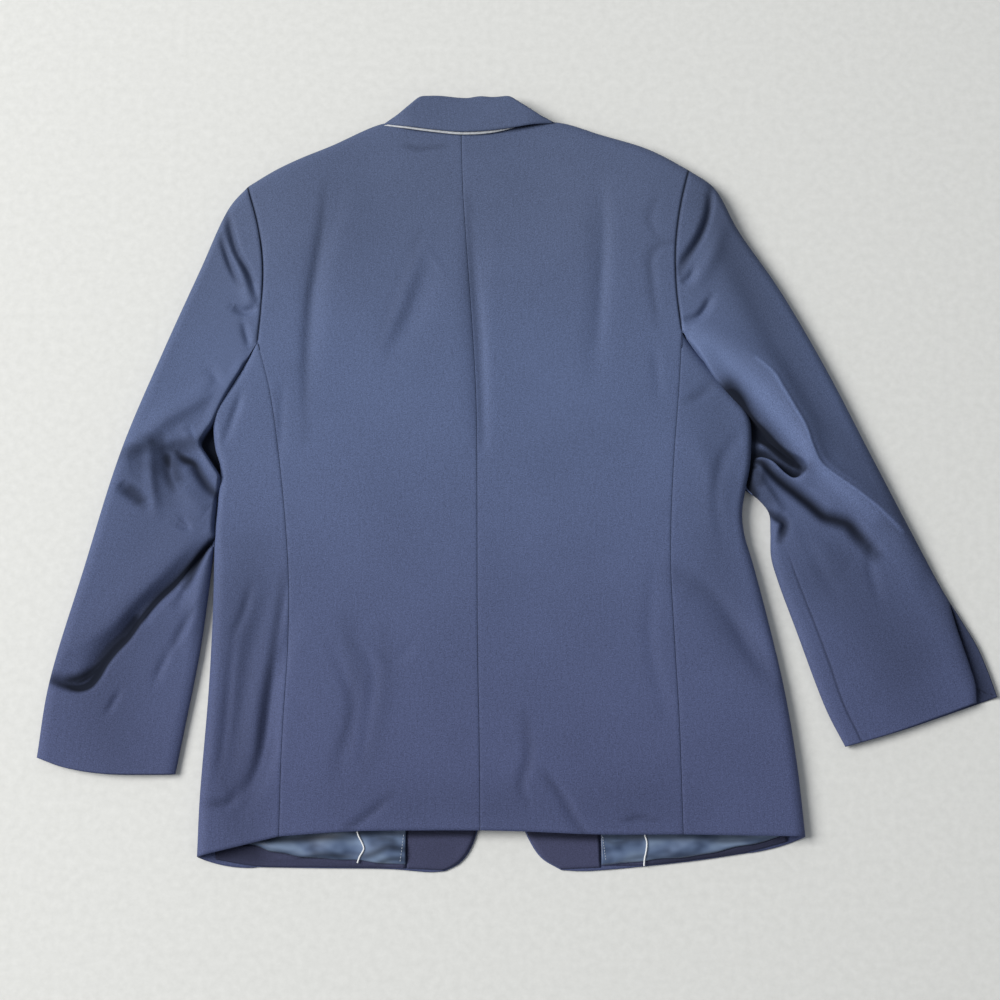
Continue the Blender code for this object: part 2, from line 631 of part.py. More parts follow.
def plate(name, left, right, bottom, top, low, high, finish):
    """A flat piece between four borders, from one height to another."""
    grid = coons(left, right, bottom, top)
    under = np.dstack([grid, np.full(grid.shape[:2], float(low))])
    above = np.dstack([grid, np.full(grid.shape[:2], float(high))])
    return wall(name, above, under, finish)


def straight(a, b, cells):
    return np.linspace(np.array(a, float), np.array(b, float), cells + 1)


def lapel(name, parts, cloth):
    roll = Curve(parts["roll"]).even(8)
    edge = Curve(parts["edge"]).even(8)
    gorge = Curve(parts["gorge"], straight=True).at(
        np.concatenate([np.linspace(0, np.linalg.norm(np.subtract(*parts["gorge"][:2])), 3),
                        [Curve(parts["gorge"], straight=True).length]]))
    foot = straight(roll[0], edge[0], 3)
    return plate(name, roll, edge, foot, gorge, 0.0, LAPEL, cloth)


def collar_end(name, parts, cloth):
    roll = Curve(parts["roll"]).even(6)
    edge = Curve(parts["edge"]).even(6)
    end = np.vstack([straight(parts["end"][0], parts["end"][1], 2), parts["end"][2]])
    top = straight(roll[-1], edge[-1], 3)
    return plate(name, roll, edge, end, top, 0.0, LAPEL, cloth)


def facing(name, parts, cloth):
    inner = Curve(parts["inner"]).even(6)
    outer = Curve(parts["outer"]).even(6)
    low = WALL + GAP
    return plate(name, inner, outer, straight(inner[0], outer[0], 3), straight(inner[-1], outer[-1], 3),
                 low, low + FACING, cloth)


def hem_turn_up(name, side, stop_x, start_x, depth, cloth):
    """The hem's wool, folded up inside the front."""
    rows = [row for row in side["front_hem"] if abs(row[0]) > abs(stop_x) + 6]
    fold_point = side["side_fold"][0]
    inside_fold = (start_x, fold_point[1] + (rows[0][1] - fold_point[1]) * 0.35)
    hem = Curve([inside_fold, *rows, (stop_x, rows[-1][1] - 0.5)]).even(10) + (0.0, 2.0)
    rise = depth * np.linspace(0.45, 1.0, len(hem))[:, None] * np.array([[0.0, 1.0]])
    top = hem + rise
    low = WALL + GAP
    return plate(name, straight(hem[0], top[0], 2), straight(hem[-1], top[-1], 2), hem, top,
                 low, low + TURN_UP, cloth)


def lining(name, parts, cloth, phase):
    """Satin over the turned-up hem, rumpled where it is eased."""
    low = Curve(parts["low"]).even(12)
    high = Curve(parts["high"]).even(12)
    left = straight(low[0], high[0], 5)
    right = straight(low[-1], high[-1], 5)
    grid = coons(left, right, low, high)
    x, y = grid[..., 0], grid[..., 1]
    rumple = 1.3 * np.sin(x / 17.0 + phase) + 0.9 * np.sin(x / 9.0 - y / 14.0 + phase)
    base = WALL + GAP + TURN_UP + GAP + LINING
    top = base + 2.3 + rumple
    above = np.dstack([grid, top])
    under = np.dstack([grid, top - LINING])
    return wall(name, above, under, cloth)


def collar_top(x, y):
    """The fall lies on the undercollar, which lies on the back."""
    return np.full(np.shape(x), COLLAR_HEIGHT)


def collar_middle(x, y):
    """Half way down at the fold, and lying on the shoulder at the fall's corners."""
    return 0.5 * (COLLAR_HEIGHT + STAND_LOW) + 5.0 * (1 - smooth_step(411.0, 432.0, y))


def collar_grid(edge_rows, rows):
    edge = Curve(edge_rows)
    fold_line = Curve(COLLAR_FOLD)
    columns = 16
    bottom = edge.even(columns)
    top = fold_line.even(columns)
    left_length = np.linalg.norm(top[0] - bottom[0])
    right_length = np.linalg.norm(top[-1] - bottom[-1])
    left = bottom[0] + (top[0] - bottom[0]) * (stations(left_length, rows, roll_at_end=True,
                                                        reach=COLLAR_ROLL) / left_length)[:, None]
    right = bottom[-1] + (top[-1] - bottom[-1]) * (stations(right_length, rows, roll_at_end=True,
                                                           reach=COLLAR_ROLL) / right_length)[:, None]
    return coons(left, right, bottom, top)


def collar_folds(grid):
    """The fall turns down at its fold and at both slanting ends."""
    return [(0, True, COLLAR_ROLL, None), (1, False, END_ROLL, None), (1, True, END_ROLL, None)]


def collar(cloth, felt):
    grid = collar_grid(COLLAR_EDGE, 6)
    out, inside = upper_sheet(grid, collar_top, lambda x, y: collar_middle(x, y) + TOP_GAP / 2, collar_folds(grid))
    wall("collar_fall", out, inside, cloth)

    neck_seam = [(-112, 414.6), (-80, 413.6), (-42, 413.0), (0, 413.6), (52, 414.6)]
    grid = collar_grid(neck_seam, 5)
    low, inside = lower_sheet(grid, lambda x, y: np.full(np.shape(x), STAND_LOW),
                              lambda x, y: collar_middle(x, y) - TOP_GAP / 2, collar_folds(grid))
    wall("collar_stand", low, inside, cloth)

    edge = Curve(UNDERCOLLAR_EDGE).even(12)
    top = Curve(UNDERCOLLAR_TOP).even(12)
    high = COLLAR_HEIGHT - WALL - GAP
    plate("undercollar", straight(edge[0], top[0], 3), straight(edge[-1], top[-1], 3), edge, top,
          high - FELT, high, felt)


def button(name, y, finish):
    """A dished button, face down."""
    rim, dish, depth = BUTTON_RADIUS, 6.5, 0.8
    profile = [(0.0, depth), (dish, depth), (dish + 0.8, 0.0), (rim - 0.8, 0.0), (rim, 0.9),
               (rim, BUTTON_HEIGHT), (0.0, BUTTON_HEIGHT)]
    work = bmesh.new()
    verts = [work.verts.new((r * MM, 0.0, z * MM)) for r, z in profile]
    edges = [work.edges.new(pair) for pair in zip(verts[:-1], verts[1:])]
    bmesh.ops.spin(work, geom=verts + edges, cent=(0, 0, 0), axis=(0, 0, 1), angle=2 * math.pi, steps=16,
                   use_merge=True, use_duplicate=False)
    bmesh.ops.remove_doubles(work, verts=work.verts, dist=1e-6)
    bmesh.ops.recalc_face_normals(work, faces=work.faces)
    mesh = bpy.data.meshes.new(name)
    work.to_mesh(mesh)
    work.free()
    mesh.materials.append(finish)
    made = bpy.data.objects.new(name, mesh)
    bpy.context.scene.collection.objects.link(made)
    made.location = ((BUTTON_X - ORIGIN_X) * MM, (y - ORIGIN_Y) * MM, 0.0)


def main():
    for old in list(bpy.data.objects):
        bpy.data.objects.remove(old)
    wool = material("wool", NAVY, 0.85)
    inside_wool = material("inside wool", DARK_NAVY, 0.9)
    satin = material("satin lining", LINING_BLUE, 0.4)
    felt = material("undercollar felt", FELT_GREY, 0.95)
    horn = material("button", HORN, 0.35)

    for label, side in (("left", LEFT), ("right", RIGHT)):
        back_panel(f"back_{label}", side, wool)
        side_panel(f"side_{label}", side, wool)
        front_panel(f"front_{label}", side, wool)
    sleeve("left", LEFT_SLEEVE, LEFT, LEFT_SLEEVE_FOLDS, wool)
    sleeve("right", RIGHT_SLEEVE, RIGHT, RIGHT_SLEEVE_FOLDS, wool)
    collar(wool, felt)
    lapel("lapel_left", LEFT_LAPEL, wool)
    lapel("lapel_right", RIGHT_LAPEL, wool)
    collar_end("collar_end_left", LEFT_COLLAR_END, wool)
    collar_end("collar_end_right", RIGHT_COLLAR_END, wool)
    facing("facing_left", LEFT_FACING, inside_wool)
    facing("facing_right", RIGHT_FACING, inside_wool)
    hem_turn_up("hem_left", LEFT, -93.0, -288.0, 36.0, inside_wool)
    hem_turn_up("hem_right", RIGHT, 101.0, 291.0, 36.0, inside_wool)
    lining("lining_left", LEFT_LINING, satin, 0.4)
    lining("lining_right", RIGHT_LINING, satin, 2.1)
    for name, y in BUTTON_YS.items():
        button(name, y, horn)


main()
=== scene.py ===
"""The looks of a navy wool blazer laid face down, back upwards.

Each piece of cloth is a thin shell on its solid's form: a fine grid set on the panel's own borders, its
height from the laid garment's puff, largest folds and creases. Tables are in millimetres in the layout's
own frame (x right, y towards the collar, z up), as in the part's source.
"""

import math

import bmesh
import bpy
import numpy as np
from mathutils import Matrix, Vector


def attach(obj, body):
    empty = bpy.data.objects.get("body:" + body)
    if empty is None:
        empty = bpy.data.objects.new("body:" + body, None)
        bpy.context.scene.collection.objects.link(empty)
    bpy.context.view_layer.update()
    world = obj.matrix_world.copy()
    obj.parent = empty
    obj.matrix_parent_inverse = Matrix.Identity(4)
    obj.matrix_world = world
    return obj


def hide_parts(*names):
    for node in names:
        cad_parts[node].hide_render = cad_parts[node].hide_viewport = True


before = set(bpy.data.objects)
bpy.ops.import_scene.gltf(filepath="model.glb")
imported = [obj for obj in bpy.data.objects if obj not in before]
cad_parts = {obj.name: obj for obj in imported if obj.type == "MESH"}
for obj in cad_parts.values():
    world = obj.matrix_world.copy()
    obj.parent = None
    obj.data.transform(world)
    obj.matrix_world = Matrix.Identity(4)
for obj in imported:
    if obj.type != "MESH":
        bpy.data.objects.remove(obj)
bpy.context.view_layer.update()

MM = 0.001
ORIGIN_X, ORIGIN_Y = 19.0, 29.7  # the part's origin in the layout's frame

# Cloth and heights of the laid garment
CLOTH = 1.3
GAP = 0.3
LAPEL = 3.0
LAPEL_LIFT = LAPEL + GAP
BODY_HEIGHT = 16.0
CUFF_HEIGHT = 9.0
PAD_PLACES = ((-212, 300), (146, 318))
PAD_HEIGHT = 6.5
PAD_REACH = 85.0
LOWEST_TOP = 3.4  # the upper layer stays above this in a deep trough
PRESSED_TOP = LOWEST_TOP - 0.4
SOFTNESS = 0.8
ROLL = 12.0  # how far in from a fold the cloth is round

# Cells of the cloth's grids
CELL = 3.4
SLEEVE_CELL = 1.9
ROLL_CELLS = 8
SEAM_ROWS = 150  # from hem to armpit
SIDE_CELLS = 26
HEM_CELLS = 36
SLEEVE_ROWS = 300
WRAP_CELLS = 16
COLLAR_CELLS = 60
SEAM_STEPS = (0.0, 0.7, 1.5, 2.6, 4.4)  # distances in from a seam where its groove is drawn
PATH_STEPS = 4  # pieces between two points of a fold's path
BORDER_STEPS = 24  # pieces between two points of a panel's border

# Seams: a groove's depth and reach, and the strength and reach of a dark line painted along it, partly the
# seam's own dark joint and partly painted shade in its groove
CENTRE_GROOVE = (0.32, 1.2)
SIDE_GROOVE = (0.40, 1.3)
ARMPIT_GROOVE = (1.0, 2.0)
ARMHOLE_GROOVE = (1.5, 2.0)
SIDE_LINE = (0.18, 1.1)
ARMHOLE_LINE = (0.85, 1.4)
HALF_SEAM = 0.1  # how far a panel's border stays back from the seam's middle

CENTRE_BACK = [(-20, -344), (-21, -253), (-23, -150), (-24, 18), (-25, 105), (-29, 181), (-35, 265),
               (-40, 340), (-42, 410)]
LEFT = {
    "side_seam": [(-223, -350), (-222, -253), (-218, -150), (-219, -80), (-229, 24), (-243, 115),
                  (-257, 168)],
    "armhole": [(-257, 168), (-254, 208), (-253, 251), (-259, 296), (-272, 343)],
    "side_fold": [(-306, -370), (-305, -313), (-299, -201), (-297, -120), (-297, -40), (-295, -5), (-293, 20),
                  (-294, 36), (-299, 52), (-302, 75), (-302, 92), (-295, 110), (-284, 127), (-265, 154)],
    "front_seam": [(-246, -380), (-240, -300), (-234, -150), (-236, 0), (-248, 110), (-257, 168)],
    "back_hem": [(-20, -344), (-71, -344), (-150, -345), (-223, -350)],
    "front_hem": [(-246, -380), (-187, -381), (-110, -382), (-71, -385), (-56, -384)],
    "front_edge": [(-56, -384), (-42, -377), (-32, -366), (-22, -342), (-9, -290), (-3, -220), (-2, -60),
                   (-40, 105), (-80, 290), (-106, 402)],
    "shoulder": [(-42, 410), (-90, 412), (-122, 416.5), (-184, 389), (-237, 365), (-272, 343)],
    "front_top": [(-106, 404), (-122, 416.5), (-184, 389), (-237, 365), (-272, 343)],
}
RIGHT = {
    "side_seam": [(185, -348), (183, -231), (180, -160), (177, -60), (182, 40), (189, 120), (193, 180)],
    "armhole": [(193, 180), (188, 230), (188, 275), (194, 320), (204, 362)],
    "side_fold": [(309, -350), (303, -280), (292, -201), (275, -120), (262, -66), (255, -40), (253, -16),
                  (257, 9), (262, 32), (264, 52), (264, 82), (258, 97), (241, 122), (217, 150), (198, 172)],
    "front_seam": [(250, -366), (240, -280), (222, -150), (205, -20), (206, 70), (198, 130), (193, 180)],
    "back_hem": [(-20, -344), (23, -345), (100, -348), (185, -348)],
    "front_hem": [(250, -366), (203, -373), (149, -379), (85, -384), (62, -383)],
    "front_edge": [(62, -383), (42, -371), (30, -354), (22, -335), (12, -290), (6, -220), (4, -60),
                   (18, 105), (35, 290), (46, 402)],
    "shoulder": [(-42, 410), (15, 412), (61, 417), (110, 402), (164, 384), (204, 362)],
    "front_top": [(46, 404), (61, 417), (110, 402), (164, 384), (204, 362)],
}
LEFT_SLEEVE = {
    "outer": [(-473, -270), (-464, -195), (-433, -76), (-398, 52), (-357, 161), (-321, 249), (-291, 320),
              (-272, 343)],
    "inner": [(-331, -287), (-323, -242), (-309, -160), (-301, -90), (-297, -40), (-294, -5), (-289, 22),
              (-288, 50), (-289, 80), (-288, 100), (-282, 120), (-265, 154)],
    "cuff": [(-473, -270), (-448, -279), (-407, -286), (-331, -287)],
    "vent": None,
    "wrap": 16.0,
    "pressed": (-4.0, 4.0),
    "pressed_rows": (-40.0, 66.0),
    "band": [],
    "under_step": 2,
    "seam": 0.0,
    "inside": [],
}
RIGHT_SLEEVE = {
    "outer": [(511, -208), (503, -183), (493, -157), (477, -128), (460, -99), (428, -34), (387, 52),
              (346, 139), (299, 227), (256, 294), (231, 342), (204, 362)],
    "inner": [(353, -259), (335, -222), (306, -139), (288, -86), (282, -62), (282, -36), (281, -16),
              (271, -2), (259, 8), (251, 18), (249, 42), (250, 72), (247, 96), (238, 112), (227, 130),
              (214, 149), (198, 172)],
    "cuff": [(511, -208), (471, -222), (409, -243), (353, -259)],
    "vent": [(489, -217), (489, -196), (484, -176), (478, -156), (472, -136), (464.5, -106)],
    "wrap": 20.0,
    "pressed": (-1.0, 13.0),
    "pressed_rows": (-16.0, 80.0),
    # band lessens the painted shade along a lit band inside the hollow under the lip
    "band": [([(252, 64), (267, 58), (282, 54), (298, 41), (314, 32)], 0.26, (5, 2), 6)],
    "under_step": 1,
    "seam": 0.5,
    # inside: painted shade on the vent's underlap and painted shade lines along its mitred corner
    "inside": [([(440, -60), (478, -150), (512, -232)], 0.70, 30, 30),
               ([(440, -60), (458, -96), (472, -130), (480, -160), (488, -190)], 0.97, 3, 8),
               ([(486, -199), (493, -200), (501, -203.5), (511, -206)], 0.90, 1.1, 1.1),
               ([(492, -198), (494, -206), (492, -216)], 0.90, 1.1, 1.1)],
}

# Folds: path, height (a trough is negative), reach to the left and to the right of the path's direction
BODY_FOLDS = [
    ([(-216, -130), (-232, -200), (-236, -270), (-262, -325)], -4.0, 9, 12),
    ([(-238, -100), (-256, -160), (-266, -230), (-276, -300)], -2.6, 9, 9),
    ([(-228, -140), (-247, -215), (-251, -280)], 2.4, 8, 8),
    ([(190, -92), (225, -115), (262, -160), (286, -195)], -4.2, 14, 18),
    ([(205, 60), (222, 20), (226, -40)], 2.2, 12, 12),
    ([(-174, 330), (-196, 240), (-202, 120)], -2.6, 11, 11),
    ([(106, 345), (106, 240), (99, 130)], -2.2, 11, 11),
    ([(-78, 250), (-100, 190), (-121, 150)], -2.4, 16, 7),
    ([(-20, 300), (-24, 180), (-19, 60)], -1.8, 9, 14),
]
BODY_CREASES = [
    ([(-81, 283), (-92, 256), (-106, 214), (-119, 181), (-127, 160)], 1.9, 11, 3),
    ([(-77, 270), (-68, 256), (-58, 241)], 0.9, 3, 3),
    ([(-32, 300), (-27, 236), (-21, 170), (-18, 104), (-17, 39)], -2.2, 4, 9),
    ([(-187, 330), (-194, 269), (-202, 213), (-205, 158), (-206, 90)], -2.2, 4, 3.5),
    ([(-229, 125), (-230, 82), (-230, 40)], -1.3, 4, 4),
    ([(111, 339), (111, 280), (107, 213), (103, 164)], -1.6, 5, 4),
    ([(188, 276), (171, 275), (162, 262), (163, 229), (166, 195)], -1.3, 4.5, 5),
    ([(166, 323), (161, 300), (168, 284)], -1.0, 4.5, 4.5),
    ([(-97, 387), (-82, 385), (-68, 388)], -1.2, 2.5, 2.5),
    ([(-254, 289), (-256, 246), (-253, 213)], -1.2, 4, 4),
    ([(-272, 112), (-281, 84), (-289, 60)], -3.0, 4, 4),
    ([(-221, -98), (-231, -161), (-237, -217), (-244, -273), (-257, -303), (-273, -316)], -3.6, 3.5, 5),
    ([(-226, -120), (-234, -180), (-241, -240)], 1.8, 4, 4),
    ([(-258, -96), (-265, -124), (-276, -146)], -2.6, 4, 4),
    ([(-272, -140), (-276, -181), (-281, -253), (-287, -293)], -2.2, 4, 5),
    ([(-262, -300), (-276, -318), (-290, -318)], -2.6, 4, 6),
    ([(217, -98), (242, -130), (259, -163), (277, -190)], -2.6, 6, 8),
    ([(254, 72), (232, 37), (225, -3), (230, -46)], -2.2, 7, 6),
    ([(224, 126), (217, 115), (200, 106)], -2.0, 5, 5),
    ([(164, 164), (166, 131), (168, 104)], -1.2, 5, 5),
    ([(49, -291), (63, -308), (76, -332), (89, -350)], -2.4, 3, 6),
    ([(26, -238), (30, -268), (22, -300), (30, -318)], -1.8, 4, 5),
    ([(129, -333), (143, -331), (154, -334)], -2.2, 3, 3),
    ([(-115, -313), (-129, -326), (-149, -338)], -2.6, 3, 4),
    ([(-148, -150), (-131, -179), (-135, -233), (-142, -283)], -1.5, 7, 6),
    ([(-172, -160), (-150, -220), (-166, -280)], -1.5, 8, 5),
    ([(-87, -150), (-108, -171), (-134, -150)], -1.0, 5, 5),
    ([(161, -67), (154, -150), (171, -233)], -1.1, 7, 7),
]

LEFT_SLEEVE_FOLDS = [
    ([(-305, -20), (-352, -78), (-398, -130), (-448, -160)], 4.5, 10, 24),
    ([(-468, -190), (-457, -192), (-445, -195), (-433, -197), (-424, -195), (-416, -187), (-408, -172),
      (-398, -158), (-386, -145), (-371, -122), (-356, -106), (-341, -92), (-324, -71), (-307, -51),
      (-292, -37)], -11.0, (15, 5), (5, 4)),
    ([(-297, -42), (-305, -53), (-316, -74), (-322, -86), (-332, -110)], -6.0, (3, 6), (3, 6)),
    ([(-392, 40), (-360, 44), (-330, 46), (-306, 56)], -6.0, 12, 20),
    ([(-342, 52), (-331, 42), (-321, 37), (-312, 23), (-303, 10), (-292, 0)], -7.5, 5, 6),
    ([(-332, 72), (-322, 57), (-312, 42), (-300, 25), (-290, 12)], 4.0, 5, 5),
    ([(-353, 58), (-348, 34), (-341, 8)], -5.0, 6, 7),
    ([(-368, 58), (-365, 22), (-358, -16)], 4.5, 6, 6),
    ([(-398, 16), (-386, 6), (-370, -2)], -5.5, 7, 7),
    ([(-334, 10), (-318, -6), (-304, -16)], 3.5, 11, 10),
    ([(-333, -20), (-325, -32), (-338, -28)], -2.2, 3.5, 4),
    ([(-394, 44), (-372, 66), (-347, 86), (-322, 101), (-292, 124)], 5.5, 13, 9),
    ([(-292, 308), (-282, 270), (-268, 244), (-258, 214)], -6.0, 3.5, 4.5),
    ([(-298, 282), (-288, 254), (-279, 234)], -4.5, 3.5, 3.5),
    ([(-284, 268), (-272, 236), (-262, 206)], 3.5, 7, 7),
    ([(-284, 207), (-272, 202), (-258, 205)], -4.5, 4, 5),
    ([(-273, 190), (-265, 162)], -3.0, 4, 4),
    ([(-311, 141), (-300, 127), (-309, 109)], -1.6, 6, 6),
    ([(-316, -116), (-325, -134), (-338, -158)], -2.4, 4, 5),
    ([(-340, -160), (-347, -176), (-355, -194)], -2.0, 4, 5),
    ([(-303, -66), (-312, -104), (-322, -156)], 2.2, 7, 7),
    ([(-389, -202), (-395, -212), (-403, -226)], -2.2, 3.5, 4),
]
RIGHT_SLEEVE_FOLDS = [
    ([(227, 338), (224, 310), (214, 284), (192, 250)], -7.5, 3.5, 4.5),
    ([(240, 300), (226, 262), (205, 226)], 3.0, 9, 9),
    ([(193, 233), (202, 238), (208, 248)], -3.5, 4, 4),
    ([(194, 191), (211, 196), (226, 218)], -5.0, 4, 5),
    ([(192, 187), (230, 172), (269, 150), (288, 133), (297, 117), (309, 95), (320, 74), (326, 54), (335, 34),
      (352, 20), (370, 7), (384, -4), (396, -14), (410, -25), (440, -67)], 7.0, (20, 9), (34, 15)),
    ([(266, 152), (288, 133), (297, 117), (309, 95), (320, 74), (326, 54), (335, 34), (352, 20), (370, 7),
      (384, -4), (396, -14), (418, -36)], 2.2, 2.6, 7),
    ([(254, 53), (270, 56), (284, 53), (296, 43), (310, 34)], 4.5, 5, 6),
    ([(246, 18), (254, 28), (259, 36), (265, 40), (271, 39), (278, 35), (285, 27), (297, 16), (309, 7),
      (325, -6), (340, -19), (352, -23), (364, -28), (374, -40), (386, -54)], -10.0, (4, 8), (4, 8)),
    ([(256, 28), (267, 22), (275, 11), (284, -4), (296, -18)], 4.0, 6, 8),
    ([(274, -12), (286, -20), (296, -27), (292, -42)], -6.5, 4, 4),
    ([(290, -34), (318, -48), (362, -76)], 2.5, 12, 14),
    ([(387, -52), (384, -74), (393, -110)], -1.6, 6, 6),
    ([(241, 279), (276, 201), (316, 124), (345, 70)], -2.4, 12, 12),
    ([(410, 0), (442, -60), (450, -110)], -2.5, 14, 14),
    ([(312, -34), (332, -75), (349, -106)], -1.2, 7, 7),
]

# Tucks: path, rise of the lip on the path's left, depth of the valley on its right, how far the lip hangs
# over, and the reach of lip and valley
LEFT_SLEEVE_TUCKS = [
    ([(-372, -132), (-363, -120), (-351, -107), (-338, -94), (-322, -72), (-305, -50), (-288, -35)],
     2.5, 4.0, (1.0, 2.5), 9, 4),
    ([(-278, -8), (-287, 12), (-295, 25), (-308, 45), (-315, 58), (-311, 68), (-303, 80), (-295, 99),
      (-284, 120), (-268, 148)], 2.0, 13.0, 2.0, 5, 30),
]
RIGHT_SLEEVE_TUCKS = [
    ([(203, 168), (215, 152), (229, 128), (238, 117), (250, 103), (264, 88), (278, 72), (291, 57), (305, 46),
      (315, 40), (319, 36), (320, 31), (317, 25), (313, 22), (307, 21), (299, 26), (293, 32), (286, 39),
      (278, 43), (271, 44), (262, 42), (244, 40)], 2.0, 13.0, (4.0, 0.5), 9, 30),
]

# Painted shade where a fold's inside lies out of the light, and painted highlights where the share is below
# 0: path, share, reach to the left and to the right
LEFT_SLEEVE_SHADES = [
    ([(-330, 60), (-370, -60), (-400, -160), (-400, -290)], 0.22, 60, 60),
    ([(-459, -192), (-454, -194), (-446, -197), (-433, -200), (-422, -197), (-414, -188), (-405.5, -173),
      (-395.5, -160), (-383.5, -147), (-368, -124), (-354, -106), (-338, -90), (-321, -69), (-304, -48),
      (-290, -36)], 1.25, (10, 3), (4.5, 3.5)),
    ([(-454, -192), (-438, -190), (-424, -184), (-411, -171), (-398, -155), (-386, -141)], 0.97, (7, 4), 8),
    ([(-446, -193), (-436, -193), (-428, -190.5), (-420, -185), (-411, -176), (-402, -163), (-392, -150),
      (-380, -136)], 1.0, 5, 4),
    ([(-372, 60), (-357, 55), (-338, 50)], 0.60, 9, 11),
    ([(-346, 46), (-340, 30), (-336, 14)], 0.62, 8, 9),
    ([(-297, -42), (-305, -53), (-316, -74), (-326, -94)], 0.80, (3, 5), (3, 5)),
    ([(-400, 46), (-370, 54), (-340, 56), (-306, 64)], 0.52, 8, 16),
    ([(-346, 56), (-331, 42), (-321, 37), (-312, 23), (-303, 10), (-288, -4)], 0.78, 5, 6),
    ([(-356, 64), (-350, 34), (-340, 4)], 0.62, 7, 8),
    ([(-392, 12), (-381, 3), (-372, -8)], 0.72, 10, 9),
    ([(-392, 36), (-362, 14), (-330, -8)], 0.32, 30, 26),
    ([(-384, 42), (-360, 32), (-334, 24)], 0.42, 22, 20),
    ([(-324, 76), (-318, 58), (-309, 45), (-293, 20)], -0.35, 2.2, 2.2),
    ([(-470, -130), (-430, -10), (-392, 90), (-350, 200), (-310, 280)], 0.12, 30, 30),
    ([(-302, 84), (-295, 99), (-284, 120), (-268, 148)], 0.55, 1.6, 3),
    ([(-294, 312), (-282, 270), (-264, 236)], 0.40, 4, 5),
    ([(-300, 286), (-288, 254), (-277, 230)], 0.30, 4, 4),
    ([(-256, 300), (-250, 251), (-252, 208), (-262, 160)], 0.35, 7, 2),
    ([(-314, -112), (-325, -134), (-339, -160)], 0.22, 4, 5),
    ([(-387, -198), (-395, -212), (-405, -230)], 0.25, 3, 4),
]
RIGHT_SLEEVE_SHADES = [
    ([(250, 20), (256, 32), (262, 39), (271, 39), (278, 35), (285, 27), (297, 16), (309, 7), (325, -6),
      (340, -19), (352, -23), (364, -28), (374, -40), (390, -60)], 0.95, (3, 7), (6, 11)),
    ([(250, 44), (252, 22), (254, 4)], 0.95, 7, 7),
    ([(272, -10), (286, -20), (297, -28), (291, -46)], 0.80, 5, 5),
    ([(186, 190), (222, 160), (256, 132), (280, 104), (298, 80), (314, 56), (330, 34), (356, 10), (388, -18)],
     -0.42, (14, 9), (14, 9)),
    ([(270, 150), (288, 133), (297, 117), (309, 95), (320, 74), (326, 54), (335, 34), (352, 20), (370, 7),
      (384, -4), (396, -14), (418, -36)], -0.70, 1.5, 2.6),
    ([(304, 125), (316, 103), (328, 80), (334, 60), (343, 41), (358, 28), (378, 14), (396, 0), (422, -26)],
     0.30, 12, 5),
    ([(242, 118), (262, 84), (278, 66), (292, 50), (306, 38), (318, 30)], 1.6, (10, 8), (14, 5)),
    ([(256, 40), (264, 36), (268, 30)], 0.97, 7, 5),
    ([(264, 32), (270, 22), (268, 8)], 0.72, 11, 11),
    ([(258, 46), (261, 34), (262, 14), (268, -6)], 0.97, 8, 8),
    ([(268, 36), (270, 14), (282, -12)], 0.45, 14, 14),
    ([(260, 43), (271, 47), (279, 46), (287, 42), (294, 34), (301, 28), (312, 24)], -0.35, 2, 2),
    ([(228, 344), (223, 307), (212, 280), (190, 244)], 0.55, 4, 5),
    ([(230, 330), (262, 240), (310, 150), (350, 70), (400, 10), (450, -70), (490, -180)], 0.40, 24, 26),
    ([(320, -60), (390, -130), (430, -200)], 0.27, 50, 40),
]
# Painted shade along the body's creases and on its slopes that turn from the light
BODY_SHADES = [
    ([(215, 150), (230, 60), (225, -40), (245, -160)], 0.18, 30, 26),
    ([(-262, -60), (-262, -200), (-262, -350)], 0.27, 28, 28),
    ([(-224, -80), (-231, -140), (-238, -200), (-246, -260), (-262, -312)], 0.30, 5, 8),
    ([(-256, -80), (-266, -124), (-278, -156)], 0.34, 6, 6),
    ([(-284, -250), (-278, -300), (-262, -316)], 0.25, 8, 8),
    ([(-250, -298), (-272, -314), (-296, -318)], 0.32, 6, 8),
    ([(-34, 330), (-28, 236), (-22, 170), (-19, 60)], 0.22, 3, 8),
    ([(-190, 345), (-194, 269), (-202, 213), (-206, 60)], 0.18, 5, 4),
    ([(-84, 290), (-95, 250), (-110, 208), (-126, 166)], 0.16, 2, 9),
    ([(198, 280), (171, 275), (160, 262), (162, 229), (166, 185)], 0.18, 4, 4),
    ([(166, 330), (160, 300), (170, 278)], 0.12, 4, 4),
    ([(-104, 387), (-82, 385), (-60, 388)], 0.28, 3, 3),
    ([(180, -78), (217, -100), (246, -134), (284, -200)], 0.22, 10, 14),
    ([(232, 140), (220, 116), (196, 104)], 0.28, 7, 7),
    ([(240, 128), (262, 100), (266, 60)], 0.25, 14, 14),
    ([(44, -285), (63, -308), (78, -334), (92, -356)], 0.28, 3, 7),
    ([(24, -225), (32, -268), (22, -300), (32, -325)], 0.20, 5, 6),
    ([(122, -334), (143, -331), (160, -334)], 0.35, 3, 3),
    ([(-108, -306), (-129, -326), (-158, -344)], 0.35, 3, 5),
    ([(-160, -130), (-148, -190), (-170, -290)], 0.16, 10, 8),
    ([(-120, -140), (-118, -200), (-138, -290)], 0.14, 10, 8),
    ([(-150, -320), (-40, -318), (60, -322), (190, -318)], 0.12, 30, 24),
]
